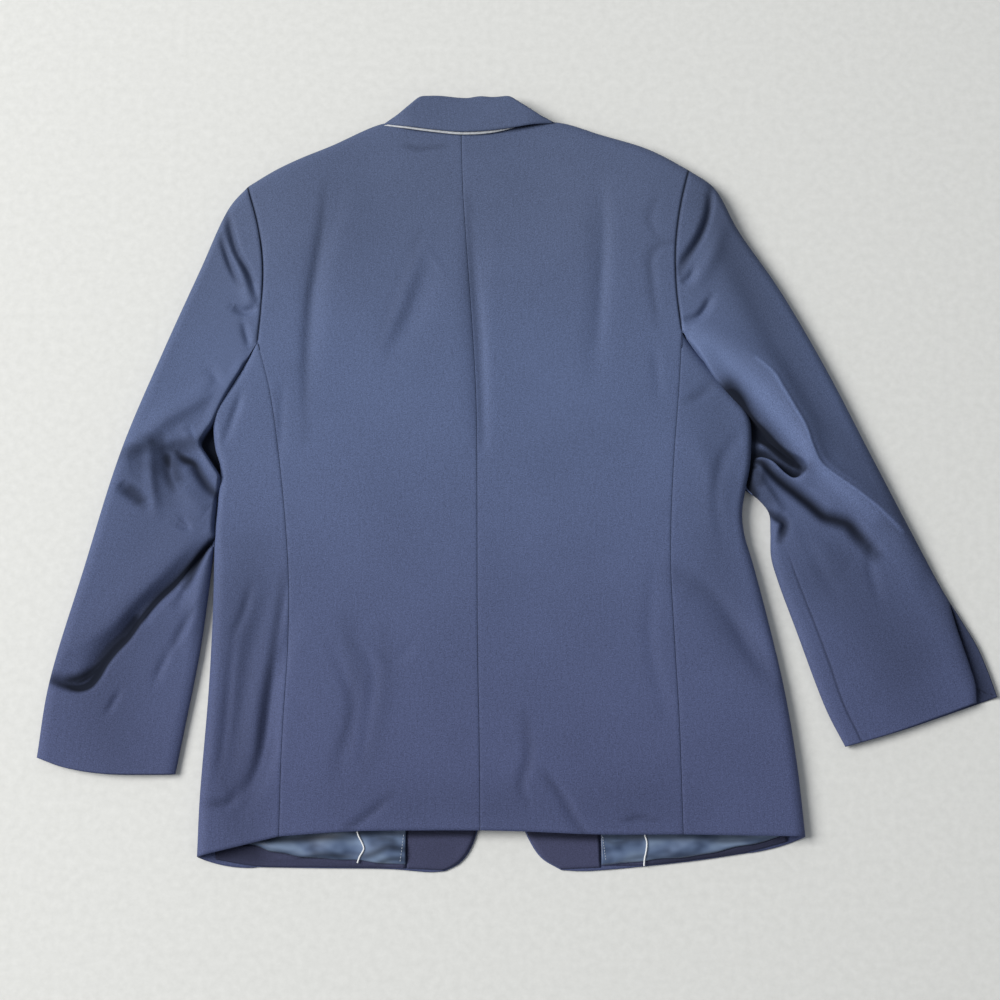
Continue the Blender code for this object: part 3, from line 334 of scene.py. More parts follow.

# Painted shadow under the back's hem and painted shade in the lining's creases, on the facings, hem turn-ups
# and linings
HEM_SHADES = [
    ([(-306, -366), (-268, -358), (-223, -352), (-150, -347), (-71, -346), (-20, -346), (23, -347),
      (100, -350), (185, -350), (250, -351), (309, -352)], 0.72, 3, 4.5),
    ([(-302, -368), (-270, -367), (-236, -368)], 0.55, 14, 14),
    ([(300, -352), (280, -354), (250, -360)], 0.45, 12, 12),
    ([(-60, -352), (-56, -372), (-50, -384)], 0.12, 30, 30),
    ([(-252, -353), (-222, -353), (-186, -350), (-150, -350)], 0.90, 4, 5),
    ([(-206, -371), (-176, -368), (-150, -371)], 0.70, 3, 3),
    ([(-140, -371), (-126, -366), (-112, -360), (-96, -363)], 0.70, 4, 4),
    ([(-126, -349), (-112, -352), (-104, -358)], 0.55, 4, 4),
    ([(-124, -376), (-110, -372), (-96, -372)], 0.70, 3, 3),
    ([(-240, -361), (-222, -365), (-200, -368)], 0.45, 3, 3),
    ([(104, -352), (118, -356), (134, -351)], 0.55, 3, 3),
    ([(120, -374), (140, -370), (166, -371), (196, -366)], 0.50, 3, 3),
    ([(206, -352), (236, -354), (262, -352)], 0.65, 4, 4),
    ([(226, -366), (250, -360), (280, -354)], 0.55, 3, 3),
    ([(150, -377), (203, -370.5), (250, -362), (296, -351)], 0.60, 4, 3),
    ([(-300, -372), (-262, -374), (-200, -375), (-120, -379)], 0.30, 5, 5),
]

# Where each front's basting thread lies, and its row of pick stitches beside the facing
PICKS = 9
LEFT_BASTING = [(-145, -340), (-144, -347), (-139, -357), (-137.5, -362), (-142, -370), (-144, -376)]
RIGHT_BASTING = [(145, -340), (146, -347), (148.5, -355), (148, -363), (146, -372), (145.5, -379)]
LEFT_PICK = [(-97.5, -348), (-98.5, -356), (-99.5, -365), (-101, -376)]
RIGHT_PICK = [(104, -350), (105, -358), (106, -366), (107, -374)]

LEFT_LINING = {"low": [(-272, -355), (-246, -359), (-233, -365), (-212, -368), (-144, -374), (-95.5, -377)],
               "high": [(-266, -305), (-187, -285), (-95.5, -280)]}
RIGHT_LINING = {"low": [(292, -346), (268, -354), (240, -361), (203, -367.5), (149, -374), (102.5, -377)],
                "high": [(268, -300), (190, -285), (102.5, -280)]}
LEFT_FACING = {"inner": [(-94, -381.5), (-94, -345), (-93, -305)],
               "outer": [(-57, -383), (-43, -376), (-33, -365), (-23, -341), (-17, -305)]}
RIGHT_FACING = {"inner": [(101, -380.5), (100.5, -345), (100, -305)],
                "outer": [(62.5, -382), (43, -370), (31, -353), (23, -334), (17, -305)]}

LEFT_LAPEL = {"roll": [(-6, -56), (-41, 105), (-68, 230), (-88, 322)],
              "edge": [(-12, -56), (-62, 30), (-112, 140), (-160, 266)],
              "gorge": [(-88, 322), (-122, 289), (-160, 266)]}
RIGHT_LAPEL = {"roll": [(8, -56), (19, 105), (29, 230), (37, 322)],
               "edge": [(14, -56), (50, 30), (82, 140), (110, 262)],
               "gorge": [(37, 322), (74, 288), (110, 262)]}
LEFT_COLLAR_END = {"roll": [(-88.5, 323.5), (-97, 370), (-98, 405), (-84, 438)],
                   "edge": [(-151, 320), (-150, 352), (-140, 388), (-120, 408)],
                   "end": [(-88.5, 323.5), (-123, 292), (-151, 320)]}
RIGHT_COLLAR_END = {"roll": [(37.5, 323.5), (42, 370), (38, 405), (20, 436)],
                    "edge": [(101, 318), (96, 352), (86, 388), (61, 408)],
                    "end": [(37.5, 323.5), (75, 291), (101, 318)]}

COLLAR_EDGE = [(-125, 413.0), (-97, 408.4), (-70, 405), (-43, 402.6), (-16, 403.6), (11, 407), (36, 411.5),
               (58.5, 414.6)]
COLLAR_FOLD = [(-87, 446), (-66, 446.5), (-46, 444.5), (-36, 444), (-22, 446), (-8, 445), (10, 446.5)]
NECK_SEAM = [(-112, 414.6), (-80, 413.6), (-42, 413.0), (0, 413.6), (52, 414.6)]
COLLAR_HEIGHT = 21.0
COLLAR_X = -33.0
FELT_DROP = 2.1
TIP_DROP = 5.0  # how far the collar's ends lie lower than its middle
COLLAR_ROLL = 9.0
END_ROLL = 6.0
STAND_LOW = LAPEL + GAP
UNDERCOLLAR_EDGE = [(-125.5, 411.6), (-97, 406.6), (-70, 402.9), (-43, 400.2), (-16, 401.2), (4, 404.8),
                    (19, 409.6)]
UNDERCOLLAR_TOP = [(-110, 415), (-45, 417), (14, 416)]


class Curve:
    """A smooth line through a table's points, read by the distance along it."""

    def __init__(self, rows, straight=False):
        points = np.array(rows, float)
        if not straight and len(points) > 2:
            points = smooth_through(points)
        self.points = points
        steps = np.linalg.norm(np.diff(points, axis=0), axis=1)
        self.along = np.concatenate([[0.0], np.cumsum(steps)])
        self.length = self.along[-1]

    def at(self, distances):
        return np.stack([np.interp(distances, self.along, self.points[:, k]) for k in (0, 1)], axis=-1)

    def even(self, cells):
        return self.at(np.linspace(0.0, self.length, cells + 1))


def smooth_through(points, steps=BORDER_STEPS):
    """Points on a Catmull-Rom curve through the given ones, with the end pieces' own slopes at its ends."""
    padded = np.vstack([2 * points[0] - points[1], points, 2 * points[-1] - points[-2]])
    out = []
    for i in range(1, len(padded) - 2):
        p0, p1, p2, p3 = padded[i - 1], padded[i], padded[i + 1], padded[i + 2]
        k0, k1, k2 = (math.sqrt(max(np.linalg.norm(b - a), 1e-6)) for a, b in ((p0, p1), (p1, p2), (p2, p3)))
        m1 = ((p1 - p0) / k0 - (p2 - p0) / (k0 + k1) + (p2 - p1) / k1) * k1
        m2 = ((p2 - p1) / k1 - (p3 - p1) / (k1 + k2) + (p3 - p2) / k2) * k1
        for t in np.linspace(0.0, 1.0, steps, endpoint=False):
            a, b = 2 * t**3 - 3 * t**2 + 1, t**3 - 2 * t**2 + t
            c, d = -2 * t**3 + 3 * t**2, t**3 - t**2
            out.append(a * p1 + b * m1 + c * p2 + d * m2)
    out.append(points[-1])
    return np.array(out)


def roll_steps(reach=ROLL):
    angles = np.linspace(0.0, math.pi / 2, ROLL_CELLS + 1)
    return reach * (1.0 - np.cos(angles))


def stations(length, start, end, cell=CELL, cells=None):
    """Distances along a border: a roll's steps or a seam's at its ends, the rest even."""
    kinds = {"plain": np.array([0.0]), "seam": np.array(SEAM_STEPS), "roll": roll_steps()}
    first = kinds[start]
    last = length - kinds[end][::-1]
    cells = cells or max(2, round((last[0] - first[-1]) / cell))
    return np.concatenate([first[:-1], np.linspace(first[-1], last[0], cells + 1), last[1:]])


def share_along(points):
    steps = np.linalg.norm(np.diff(points, axis=0), axis=1)
    along = np.concatenate([[0.0], np.cumsum(steps)])
    return along / along[-1]


def coons(left, right, bottom, top):
    """The plan points of a four-sided panel from its borders. Rows run upwards and columns to the right."""
    v = share_along(left)[:, None, None] * 0.5 + share_along(right)[:, None, None] * 0.5
    u = share_along(bottom)[None, :, None] * 0.5 + share_along(top)[None, :, None] * 0.5
    sides = (1 - u) * left[:, None, :] + u * right[:, None, :]
    ends = (1 - v) * bottom[None, :, :] + v * top[None, :, :]
    corners = ((1 - u) * (1 - v) * bottom[0] + u * (1 - v) * bottom[-1]
               + (1 - u) * v * top[0] + u * v * top[-1])
    return sides + ends - corners


def near_path(x, y, path):
    """Distance from a path, how far to its left (1) or right (-1) each point is, the share along it, and the
    path's left normal."""
    best = np.full(np.shape(x), 1e9)
    turn, share, nx, ny = (np.zeros(np.shape(x)) for _ in range(4))
    points = np.array(path, float)
    if len(points) > 2:
        points = smooth_through(points, PATH_STEPS)
    lengths = np.linalg.norm(np.diff(points, axis=0), axis=1)
    before = np.concatenate([[0.0], np.cumsum(lengths)])
    for (ax, ay), (bx, by), length, start in zip(points[:-1], points[1:], lengths, before):
        dx, dy = (bx - ax) / length, (by - ay) / length
        reached = (x - ax) * dx + (y - ay) * dy
        along = np.clip(reached, 0.0, length)
        away = np.hypot(x - ax - along * dx, y - ay - along * dy)
        to_left = (y - ay) * dx - (x - ax) * dy
        before_start = (reached < 0.0) & (start == 0.0)
        past_end = before_start | (reached > length) & (start + length > before[-1] - 1e-6)
        nearer = away < best
        best = np.where(nearer, away, best)
        turn = np.where(nearer, np.where(past_end, to_left / np.maximum(away, 1e-6), np.sign(to_left)), turn)
        share = np.where(nearer, (start + along) / before[-1], share)
        nx, ny = np.where(nearer, -dy, nx), np.where(nearer, dx, ny)
    return best, np.clip(turn, -1.0, 1.0), share, nx, ny


def smooth_step(low, high, value):
    t = np.clip((value - low) / (high - low), 0.0, 1.0)
    return t * t * (3 - 2 * t)


def window(value, low, high, soft):
    """1 between low and high, 0 outside, with soft ends."""
    return smooth_step(low - soft, low + soft, value) * (1 - smooth_step(high - soft, high + soft, value))


def along_path(value, share):
    """A reach that is the same all along a path, or a pair for its start and end."""
    start, end = value if isinstance(value, tuple) else (value, value)
    return start + (end - start) * share


def fold(x, y, path, height, left, right):
    """A soft ridge or trough along a path that fades at both ends."""
    away, turn, share, _, _ = near_path(x, y, path)
    reach = 0.5 * ((1 + turn) * along_path(left, share) + (1 - turn) * along_path(right, share))
    fade = np.sin(np.pi * np.clip(share, 0.03, 0.97)) ** 0.6
    return height * fade * np.exp(-((away / reach) ** 2))


def tuck(points, x, y, path, rise, depth, over, lip_reach, valley_reach):
    """Cloth that stands in a lip along a path and hangs a little over the valley on its right."""
    away, turn, share, nx, ny = near_path(x, y, path)
    fade = smooth_step(-0.02, 0.08, share) * (1 - smooth_step(0.92, 1.02, share))

    def bump(signed, middle, left, right):
        return np.exp(-(((signed - middle) / np.where(signed > middle, left, right)) ** 2))

    lift, shift = 0.0, 0.0
    for signed, part in ((away, 0.5 * (1 + turn)), (-away, 0.5 * (1 - turn))):
        lip, valley = bump(signed, 3.0, lip_reach, 3.0), bump(signed, -2.5, 3.0, valley_reach)
        lift = lift + part * (rise * lip - depth * valley)
        shift = shift + part * (bump(signed, 3.0, 4.0, 4.0) - 0.3 * bump(signed, -3.0, 3.0, 3.0))
    shift = shift * along_path(over, share)
    points[..., 2] = soft_floor(points[..., 2] + fade * lift)
    points[..., 0] -= fade * shift * nx
    points[..., 1] -= fade * shift * ny


def shade(x, y, rows):
    """How far out of the light each point lies, 0 to 1, as painted shade, or below 0 where a highlight is
    painted.
    """
    dark, pale = np.zeros(np.shape(x)), np.zeros(np.shape(x))
    for path, share, left, right in rows:
        away, turn, at, _, _ = near_path(x, y, path)
        reach = 0.5 * ((1 + turn) * along_path(left, at) + (1 - turn) * along_path(right, at))
        fade = smooth_step(-0.25, 0.20, at) * (1 - smooth_step(0.80, 1.25, at))
        place = share * fade * np.exp(-((away / reach) ** 2))
        dark, pale = np.maximum(dark, place), np.minimum(pale, place)
    return dark + pale


def stronger_painted_mark(line, shaded):
    """The stronger of two painted marks: a seam's dark line or a trough's painted shade, over the painted
    shade or highlight beside it.
    """
    return np.where(line > np.abs(shaded), line, shaded)


def base_height(x, y):
    """The body's upper layer without its folds, raised over the shoulder pads."""
    pads = 0.0
    for pad_x, pad_y in PAD_PLACES:
        pads = pads + np.exp(-(((x - pad_x) / PAD_REACH) ** 2) - ((y - pad_y) / PAD_REACH) ** 2)
    return BODY_HEIGHT + PAD_HEIGHT * pads


def sleeve_base(x, y):
    arm = smooth_step(-270.0, 60.0, y)
    return CUFF_HEIGHT + (base_height(x, y) - CUFF_HEIGHT) * arm


def soft_floor(z):
    """Keeps the upper layer clear of the lower one where a trough is deep."""
    return LOWEST_TOP + SOFTNESS * np.logaddexp(0.0, (z - LOWEST_TOP) / SOFTNESS)


def slack(x, y):
    """The slight unevenness of pressed wool that lies loose."""
    waves = np.sin(x / 31.0 + 0.6 * np.sin(y / 47.0)) * np.sin(y / 39.0 + 1.3)
    waves = waves + 0.6 * np.sin(x / 17.0 - y / 57.0 + 0.8) * np.sin(y / 23.0 + x / 83.0)
    return 0.28 * waves


def body_height(x, y):
    rows = BODY_FOLDS + BODY_CREASES
    return soft_floor(base_height(x, y) + slack(x, y) + sum(fold(x, y, *row) for row in rows))


def sleeve_height(rows):
    def height(x, y):
        return soft_floor(sleeve_base(x, y) + slack(x, y) + sum(fold(x, y, *row) for row in rows))
    return height


def left_of_roll_line(x, y):
    """How far each point lies outside the left lapel's roll line."""
    return -2.0 - 0.2262 * (y + 60.0) - x


def right_of_roll_line(x, y):
    """How far each point lies outside the right lapel's roll line."""
    return x - 4.0 - 0.0909 * (y + 60.0)


def lift_over_lapel(x, y):
    """How far the fronts are held up by the lapels, collar ends and buttons under them."""
    left = left_of_roll_line(x, y)
    right = right_of_roll_line(x, y)
    beside = np.maximum(1 - smooth_step(106.0, 140.0, left), 0.0) * (left > -12)
    beside = np.maximum(beside, (1 - smooth_step(100.0, 132.0, right)) * (right > -12))
    lapels = beside * smooth_step(-110.0, -75.0, y)
    strip = 1 - smooth_step(62.0, 110.0, np.abs(x - 1.0))
    buttons = strip * smooth_step(-262.0, -214.0, y)
    return LAPEL_LIFT * np.maximum(lapels, buttons)


def flat(x, y):
    return np.zeros(np.shape(x))


def body_middle(x, y):
    return 0.5 * (base_height(x, y) + lift_over_lapel(x, y))


def sleeve_middle(x, y):
    return 0.5 * sleeve_base(x, y)


def from_border(grid, axis, at_end):
    """Distances from a grid's first or last row (axis 0) or column (axis 1)."""
    border = np.take(grid, -1 if at_end else 0, axis)
    return np.linalg.norm(grid - np.expand_dims(border, axis), axis=-1)


def turned(distance, reach):
    """How far the cloth has turned up from a fold: 0 on the fold, 1 from the reach on."""
    share = np.clip(distance / reach, 0.0, 1.0)
    return np.sqrt(np.clip(1 - (1 - share) ** 2, 0.0, 1.0))


def groove(distance, depth, reach):
    return depth * np.exp(-((distance / reach) ** 2))


def laid(grid, face, middle, rolls, grooves=(), edge_lift=0.0):
    """Points of a cloth's outer face, which turns in to the middle height at its rolls. Each row of rolls and
    grooves starts with the distances from the border where the cloth turns or is sewn."""
    x, y = grid[..., 0], grid[..., 1]
    outer = face(x, y)
    for distance, depth, reach in grooves:
        outer = outer - groove(distance, depth, reach)
    half = middle(x, y) + edge_lift
    turn = np.ones(x.shape)
    for distance, reach in rolls:
        turn = turn * turned(distance, reach)
    return np.dstack([grid, half + (outer - half) * turn])


BORDERS = {"top": (0, True), "left": (1, False), "right": (1, True)}  # a grid's axis, and whether at its end


def drawn_in(grid, borders):
    """Moves the named borders of a plan grid in by half the width of a seam."""
    out = grid.copy()
    for border in borders:
        axis, at_end = BORDERS[border]
        index = [slice(None)] * 2
        index[axis] = -1 if at_end else 0
        nearby = np.take(grid, -2 if at_end else 1, axis)
        edge = np.take(grid, -1 if at_end else 0, axis)
        inward = nearby - edge
        inward /= np.maximum(np.linalg.norm(inward, axis=-1, keepdims=True), 1e-9)
        out[tuple(index)] += inward * HALF_SEAM
    return out


def cut_of(points):
    """The flat cloth of a grid: distance across each row and along each column, in millimetres."""
    across = np.linalg.norm(np.diff(points, axis=1), axis=-1)
    along = np.linalg.norm(np.diff(points, axis=0), axis=-1)
    u = np.hstack([np.zeros((len(points), 1)), np.cumsum(across, axis=1)])
    v = np.vstack([np.zeros((1, points.shape[1])), np.cumsum(along, axis=0)])
    u = u - u.mean(axis=1, keepdims=True)
    return u, np.repeat(v.mean(axis=1, keepdims=True), points.shape[1], axis=1)


def grid_mesh(name, points, material, seam):
    """A grid of cells whose corners are set on the points, with the cut's own coordinates for the weave and
    the seam's dark line with the painted shade and painted highlights of its folds, if any."""
    rows, columns = points.shape[:2]
    work = bmesh.new()
    bmesh.ops.create_grid(work, x_segments=columns - 1, y_segments=rows - 1, size=1.0)
    mesh = bpy.data.meshes.new(name)
    work.to_mesh(mesh)
    work.free()
    flat_places = np.zeros(len(mesh.vertices) * 3)
    mesh.vertices.foreach_get("co", flat_places)
    flat_places = flat_places.reshape(-1, 3)
    assert len(flat_places) == rows * columns
    j = np.rint((flat_places[:, 0] + 1) / 2 * (columns - 1)).astype(int)
    i = np.rint((flat_places[:, 1] + 1) / 2 * (rows - 1)).astype(int)
    placed = (points[i, j] - (ORIGIN_X, ORIGIN_Y, 0.0)) * MM
    mesh.vertices.foreach_set("co", placed.ravel())
    u, v = cut_of(points)
    corner = np.zeros(len(mesh.loops), int)
    mesh.loops.foreach_get("vertex_index", corner)
    cut = np.stack([u[i, j], v[i, j]], axis=-1)[corner] * MM
    layer = mesh.uv_layers.new(name="cloth")
    layer.uv.foreach_set("vector", cut.ravel())
    # Seam lines, painted shade and painted highlights, per point
    seam_and_painted_light = mesh.attributes.new("seam_and_painted_light", "FLOAT", "POINT")
    strength = np.zeros(len(placed)) if seam is None else seam[i, j]
    seam_and_painted_light.data.foreach_set("value", strength)
    mesh.materials.append(material)
    mesh.shade_smooth()
    mesh.update()
    return mesh


def faces_up(points):
    a = points[1:, 1:] - points[:-1, :-1]
    b = points[1:, :-1] - points[:-1, 1:]
    return np.cross(a, b)[..., 2].mean() > 0


def cloth(name, points, finish, up=True, thickness=CLOTH, seam=None, split=None):
    """A shell of cloth in place of its solid. Its outer face is on the points and looks up or down. split is
    the column where a wrap turns under."""
    material, slot = finish
    mesh = grid_mesh(name, points, material, seam)
    if faces_up(points[:, :split]) != up:
        mesh.flip_normals()
    piece = bpy.data.objects.new(name, mesh)
    bpy.context.scene.collection.objects.link(piece)
    wall = piece.modifiers.new("wall", "SOLIDIFY")
    wall.thickness = thickness * MM
    wall.offset = -1.0
    wall.use_rim = True
    wall.use_even_offset = False
    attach(piece, "root")
    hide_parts(name)


# Finishes

# Painted shade: the most that seam lines and fold shade darken the colour
MOST_DARK = 0.97  # the darkest that a seam or a fold's inside gets


class Nodes:
    """Short calls for building a material's node tree."""

    def __init__(self, name):
        self.material = bpy.data.materials.new(name)
        self.material.use_nodes = True
        self.tree = self.material.node_tree
        self.shader = self.tree.nodes["Principled BSDF"]

    def add(self, kind, settings=None, **inputs):
        node = self.tree.nodes.new(kind)
        for key, value in (settings or {}).items():
            setattr(node, key, value)
        for key, value in inputs.items():
            self.link_or_set(node, key, value)
        return node

    def link_or_set(self, node, key, value):
        """key is a socket's name, or i and its number."""
        socket = node.inputs[int(key[1:]) if key[1:].isdigit() else key]
        if isinstance(value, bpy.types.NodeSocket):
            self.tree.links.new(value, socket)
        else:
            socket.default_value = value

    def maths(self, operation, a, b=0.0, c=0.0):
        node = self.tree.nodes.new("ShaderNodeMath")
        node.operation = operation
        for k, value in enumerate((a, b, c)):
            self.link_or_set(node, f"i{k}", value)
        return node.outputs[0]

    def ramp(self, value, stops):
        node = self.tree.nodes.new("ShaderNodeValToRGB")
        ramp = node.color_ramp
        while len(ramp.elements) < len(stops):
            ramp.elements.new(0.5)
        for element, (place, colour) in zip(ramp.elements, stops):
            element.position = place
            element.color = (*colour, 1.0)
        self.link_or_set(node, "Fac", value)
        return node.outputs["Color"]

    def mix(self, share, a, b, blend="MIX"):
        node = self.tree.nodes.new("ShaderNodeMix")
        node.data_type = "RGBA"
        node.blend_type = blend
        self.link_or_set(node, "i0", share)
        self.link_or_set(node, "i6", a if isinstance(a, bpy.types.NodeSocket) else (*a, 1.0))
        self.link_or_set(node, "i7", b if isinstance(b, bpy.types.NodeSocket) else (*b, 1.0))
        return node.outputs[2]

    def place(self):
        return self.add("ShaderNodeTexCoord").outputs["Object"]

    def cut(self):
        """The flat cloth's own coordinates."""
        return self.add("ShaderNodeUVMap", {"uv_map": "cloth"}).outputs["UV"]

    def seam_and_painted_light(self):
        """How dark a seam's line or a fold's painted shade is, and below 0 where a highlight is painted."""
        return self.add("ShaderNodeAttribute", {"attribute_name": "seam_and_painted_light"}).outputs["Fac"]

    def between(self, value, start, end):
        """0 at start and 1 at end, with a soft change between them."""
        return self.add("ShaderNodeMapRange", {"interpolation_type": "SMOOTHSTEP"},
                        i0=value, i1=start, i2=end, i3=0.0, i4=1.0).outputs[0]

    def noise(self, vector, scale, detail, roughness):
        node = self.tree.nodes.new("ShaderNodeTexNoise")
        self.tree.links.new(vector, node.inputs["Vector"])
        node.inputs["Scale"].default_value = scale
        node.inputs["Detail"].default_value = detail
        node.inputs["Roughness"].default_value = roughness
        return node.outputs["Fac"]

    def wave(self, vector, scale, turn, distortion):
        mapping = self.tree.nodes.new("ShaderNodeMapping")
        mapping.inputs["Rotation"].default_value = (0.0, 0.0, math.radians(turn))
        self.tree.links.new(vector, mapping.inputs["Vector"])
        node = self.tree.nodes.new("ShaderNodeTexWave")
        node.wave_type = "BANDS"
        node.bands_direction = "X"
        node.inputs["Scale"].default_value = scale
        node.inputs["Distortion"].default_value = distortion
        node.inputs["Detail"].default_value = 1.0
        node.inputs["Detail Scale"].default_value = 2.0
        self.tree.links.new(mapping.outputs["Vector"], node.inputs["Vector"])
        return node.outputs["Fac"]

    def stretched(self, vector, scale):
        node = self.tree.nodes.new("ShaderNodeMapping")
        node.inputs["Scale"].default_value = scale
        self.tree.links.new(vector, node.inputs["Vector"])
        return node.outputs["Vector"]

    def set(self, **values):
        for key, value in values.items():
            self.link_or_set(self.shader, key.replace("_", " "), value)

    def bump(self, *layers):
        """layers: (height socket, distance in metres, strength)"""
        normal = None
        for height, distance, strength in layers:
            node = self.tree.nodes.new("ShaderNodeBump")
            node.inputs["Distance"].default_value = distance
            node.inputs["Strength"].default_value = strength
            self.tree.links.new(height, node.inputs["Height"])
            if normal is not None:
                self.tree.links.new(normal, node.inputs["Normal"])
            normal = node.outputs["Normal"]
        self.tree.links.new(normal, self.shader.inputs["Normal"])


def tinted(n, share, colour, tint):
    """A colour multiplied by a tint, as far as share says."""
    return n.mix(share, colour, n.mix(1.0, colour, tint, "MULTIPLY"))


def wool(name, mean, contrast=1.0):
    """Fine worsted twill: ribs, a heather of dark and pale fibres, warp streaks and slow random changes of
    tone, with painted shade towards the hem and the collar, painted shade along seams and in folds, and
    painted highlights.
    """
    n = Nodes(name)
    cut = n.cut()
    place = n.place()
    twill = n.wave(cut, 507.0, 62.0, 0.5)
    weft = n.wave(cut, 640.0, 0.0, 0.4)
    fibres = n.noise(cut, 820.0, 2.0, 0.7)
    heather = n.noise(cut, 330.0, 2.0, 0.6)
    warp = n.noise(n.stretched(cut, (1.0, 0.14, 1.0)), 420.0, 2.0, 0.6)
    clouds = n.noise(place, 11.0, 2.0, 0.5)
    blend = 0.5
    for layer, share in ((fibres, 0.95), (heather, 0.24), (warp, 0.14), (clouds, 0.10), (twill, 0.05)):
        change = n.maths("MULTIPLY_ADD", layer, share * contrast, -0.5 * share * contrast)
        blend = n.maths("ADD", blend, change)
    dark, light = tuple(0.45 * c for c in mean), tuple(1.55 * c for c in mean)
    colour = n.ramp(blend, ((0.20, dark), (0.50, mean), (0.80, light)))
    # Painted shade: the colour darkens and turns purple towards the hem, and darkens and warms towards the
    # collar
    height = n.add("ShaderNodeSeparateXYZ", i0=place).outputs["Y"]
    colour = tinted(n, n.between(height, 0.16, -0.36), colour, (0.76, 0.69, 0.76))
    colour = tinted(n, n.between(height, 0.08, 0.32), colour, (0.91, 0.88, 0.83))
    seam_and_painted_light = n.seam_and_painted_light()
    # Painted highlight: where the attribute is below 0 the colour is lightened
    painted_highlight = n.maths("MINIMUM", n.maths("MAXIMUM", n.maths("MULTIPLY", seam_and_painted_light, -1.0), 0.0), 1.0)
    colour = tinted(n, painted_highlight, colour, (1.9, 1.9, 1.85))
    # Painted shade: seam lines and the insides of folds darken towards near black
    seam_and_painted_light = n.maths("MAXIMUM", n.maths("MINIMUM", seam_and_painted_light, MOST_DARK), 0.0)
    colour = n.mix(seam_and_painted_light, colour, tuple(0.07 * c for c in mean))
    nap = n.maths("MULTIPLY_ADD", fibres, 0.16, 0.58)
    n.set(Base_Color=colour, Roughness=n.maths("MULTIPLY_ADD", seam_and_painted_light, 0.3, nap), Sheen_Weight=0.03,
          Sheen_Roughness=0.45, Specular_IOR_Level=0.14, Sheen_Tint=(0.60, 0.70, 1.0, 1.0))
    n.bump((twill, 0.00007, 0.4), (weft, 0.00005, 0.3), (fibres, 0.00010, 0.6), (heather, 0.00012, 0.4))
    return n.material


def satin(name, dark, mean, light):
    """Lining satin: very fine ribs, and a lustre broken by creases that is painted as lighter and darker
    bands, with painted shadow under the back's hem.
    """
    n = Nodes(name)
    cut = n.cut()
    ribs = n.wave(cut, 820.0, 3.0, 0.3)
    crease = n.noise(n.stretched(cut, (0.55, 1.0, 1.0)), 46.0, 2.0, 0.45)
    blend = n.maths("MULTIPLY_ADD", ribs, 0.04, crease)
    # Painted lustre: lighter and darker bands along the creases stand in for light caught and lost on the
    # satin
    colour = n.ramp(blend, ((0.36, dark), (0.50, mean), (0.64, light)))
    # Painted shadow under the back's hem and painted shade in the creases
    seam_and_painted_light = n.maths("MINIMUM", n.seam_and_painted_light(), MOST_DARK)
    colour = n.mix(seam_and_painted_light, colour, tuple(0.12 * c for c in mean))
    n.set(Base_Color=colour, Roughness=n.maths("MULTIPLY_ADD", crease, 0.16, 0.36), Sheen_Weight=0.05,
          Specular_IOR_Level=0.35, Anisotropic=0.3)
    n.bump((ribs, 0.00003, 0.2), (crease, 0.0009, 0.6))
    return n.material


def felt(name, dark, mean, light):
    """Undercollar felt: matted fibres with no weave."""
    n = Nodes(name)
    place = n.place()
    mat = n.noise(place, 900.0, 4.0, 0.75)
    tufts = n.noise(place, 260.0, 3.0, 0.6)
    colour = n.ramp(n.maths("MULTIPLY_ADD", mat, 0.6, n.maths("MULTIPLY", tufts, 0.4)),
                    ((0.34, dark), (0.5, mean), (0.66, light)))
    n.set(Base_Color=colour, Roughness=0.95, Sheen_Weight=0.4, Sheen_Roughness=0.6)
    n.bump((mat, 0.0003, 0.8), (tufts, 0.0004, 0.4))
    return n.material


def thread(name, colour):
    """Cotton thread with its twist."""
    n = Nodes(name)
    place = n.place()
    ply = n.wave(place, 190.0, 35.0, 0.2)
    tone = n.ramp(ply, ((0.0, tuple(c * 0.72 for c in colour)), (1.0, colour)))
    n.set(Base_Color=tone, Roughness=0.7, Sheen_Weight=0.2)
    n.bump((ply, 0.0002, 0.6))
    return n.material


def horn(name, dark, light):
    """Horn: streaks from clear to dark, polished on the face."""
    n = Nodes(name)
    place = n.place()
    streaks = n.wave(place, 28.0, 20.0, 6.0)
    specks = n.noise(place, 420.0, 3.0, 0.6)
    colour = n.ramp(n.maths("MULTIPLY_ADD", streaks, 0.7, n.maths("MULTIPLY", specks, 0.3)),
                    ((0.25, dark), (0.8, light)))
    n.set(Base_Color=colour, Roughness=n.maths("MULTIPLY_ADD", specks, 0.2, 0.22), Specular_IOR_Level=0.5)
    n.bump((specks, 0.00006, 0.3))
    return n.material


# Each cloth's or thread's material with its slot
NAVY_WOOL = wool("navy wool twill", (0.090, 0.122, 0.228)), "wool"
# A darker, duller copy of the navy wool, as painted shade for the facings and hem turn-ups, which lie under
# the back's hem
SHADED_INSIDE_WOOL = wool("inside wool in painted shade", (0.068, 0.082, 0.148), 0.8), "inside_wool"
SATIN = satin("lining satin", (0.030, 0.050, 0.105), (0.098, 0.144, 0.250), (0.180, 0.248, 0.375)), "satin"
FELT = felt("undercollar felt", (0.30, 0.32, 0.35), (0.50, 0.52, 0.55), (0.66, 0.67, 0.70)), "felt"
PICK_THREAD = thread("pick stitch thread", (0.42, 0.47, 0.56)), "felt"
BASTING = thread("basting thread", (0.86, 0.88, 0.90)), "felt"
HORN = horn("dark horn", (0.006, 0.007, 0.011), (0.050, 0.048, 0.052))


# Panels

def armhole_points(side, cell=CELL):
    curve = Curve(side["armhole"])
    return curve.at(stations(curve.length, "plain", "roll", cell))


STRETCH_ROWS = 200.0  # the far border's extra length is shared out over this much below the top


def level_borders(side, seam, far):
    """A panel's seam and armhole as one border, and the points of its far border that lie level with them."""
    outer = np.vstack([Curve(side[seam]).even(SEAM_ROWS), armhole_points(side)[1:]])
    from_top = (1 - share_along(outer)) * Curve(outer, straight=True).length
    stretch = far.length / from_top[0] - 1
    return outer, far.at(far.length - from_top * (1 + stretch * np.minimum(1.0, from_top / STRETCH_ROWS)))


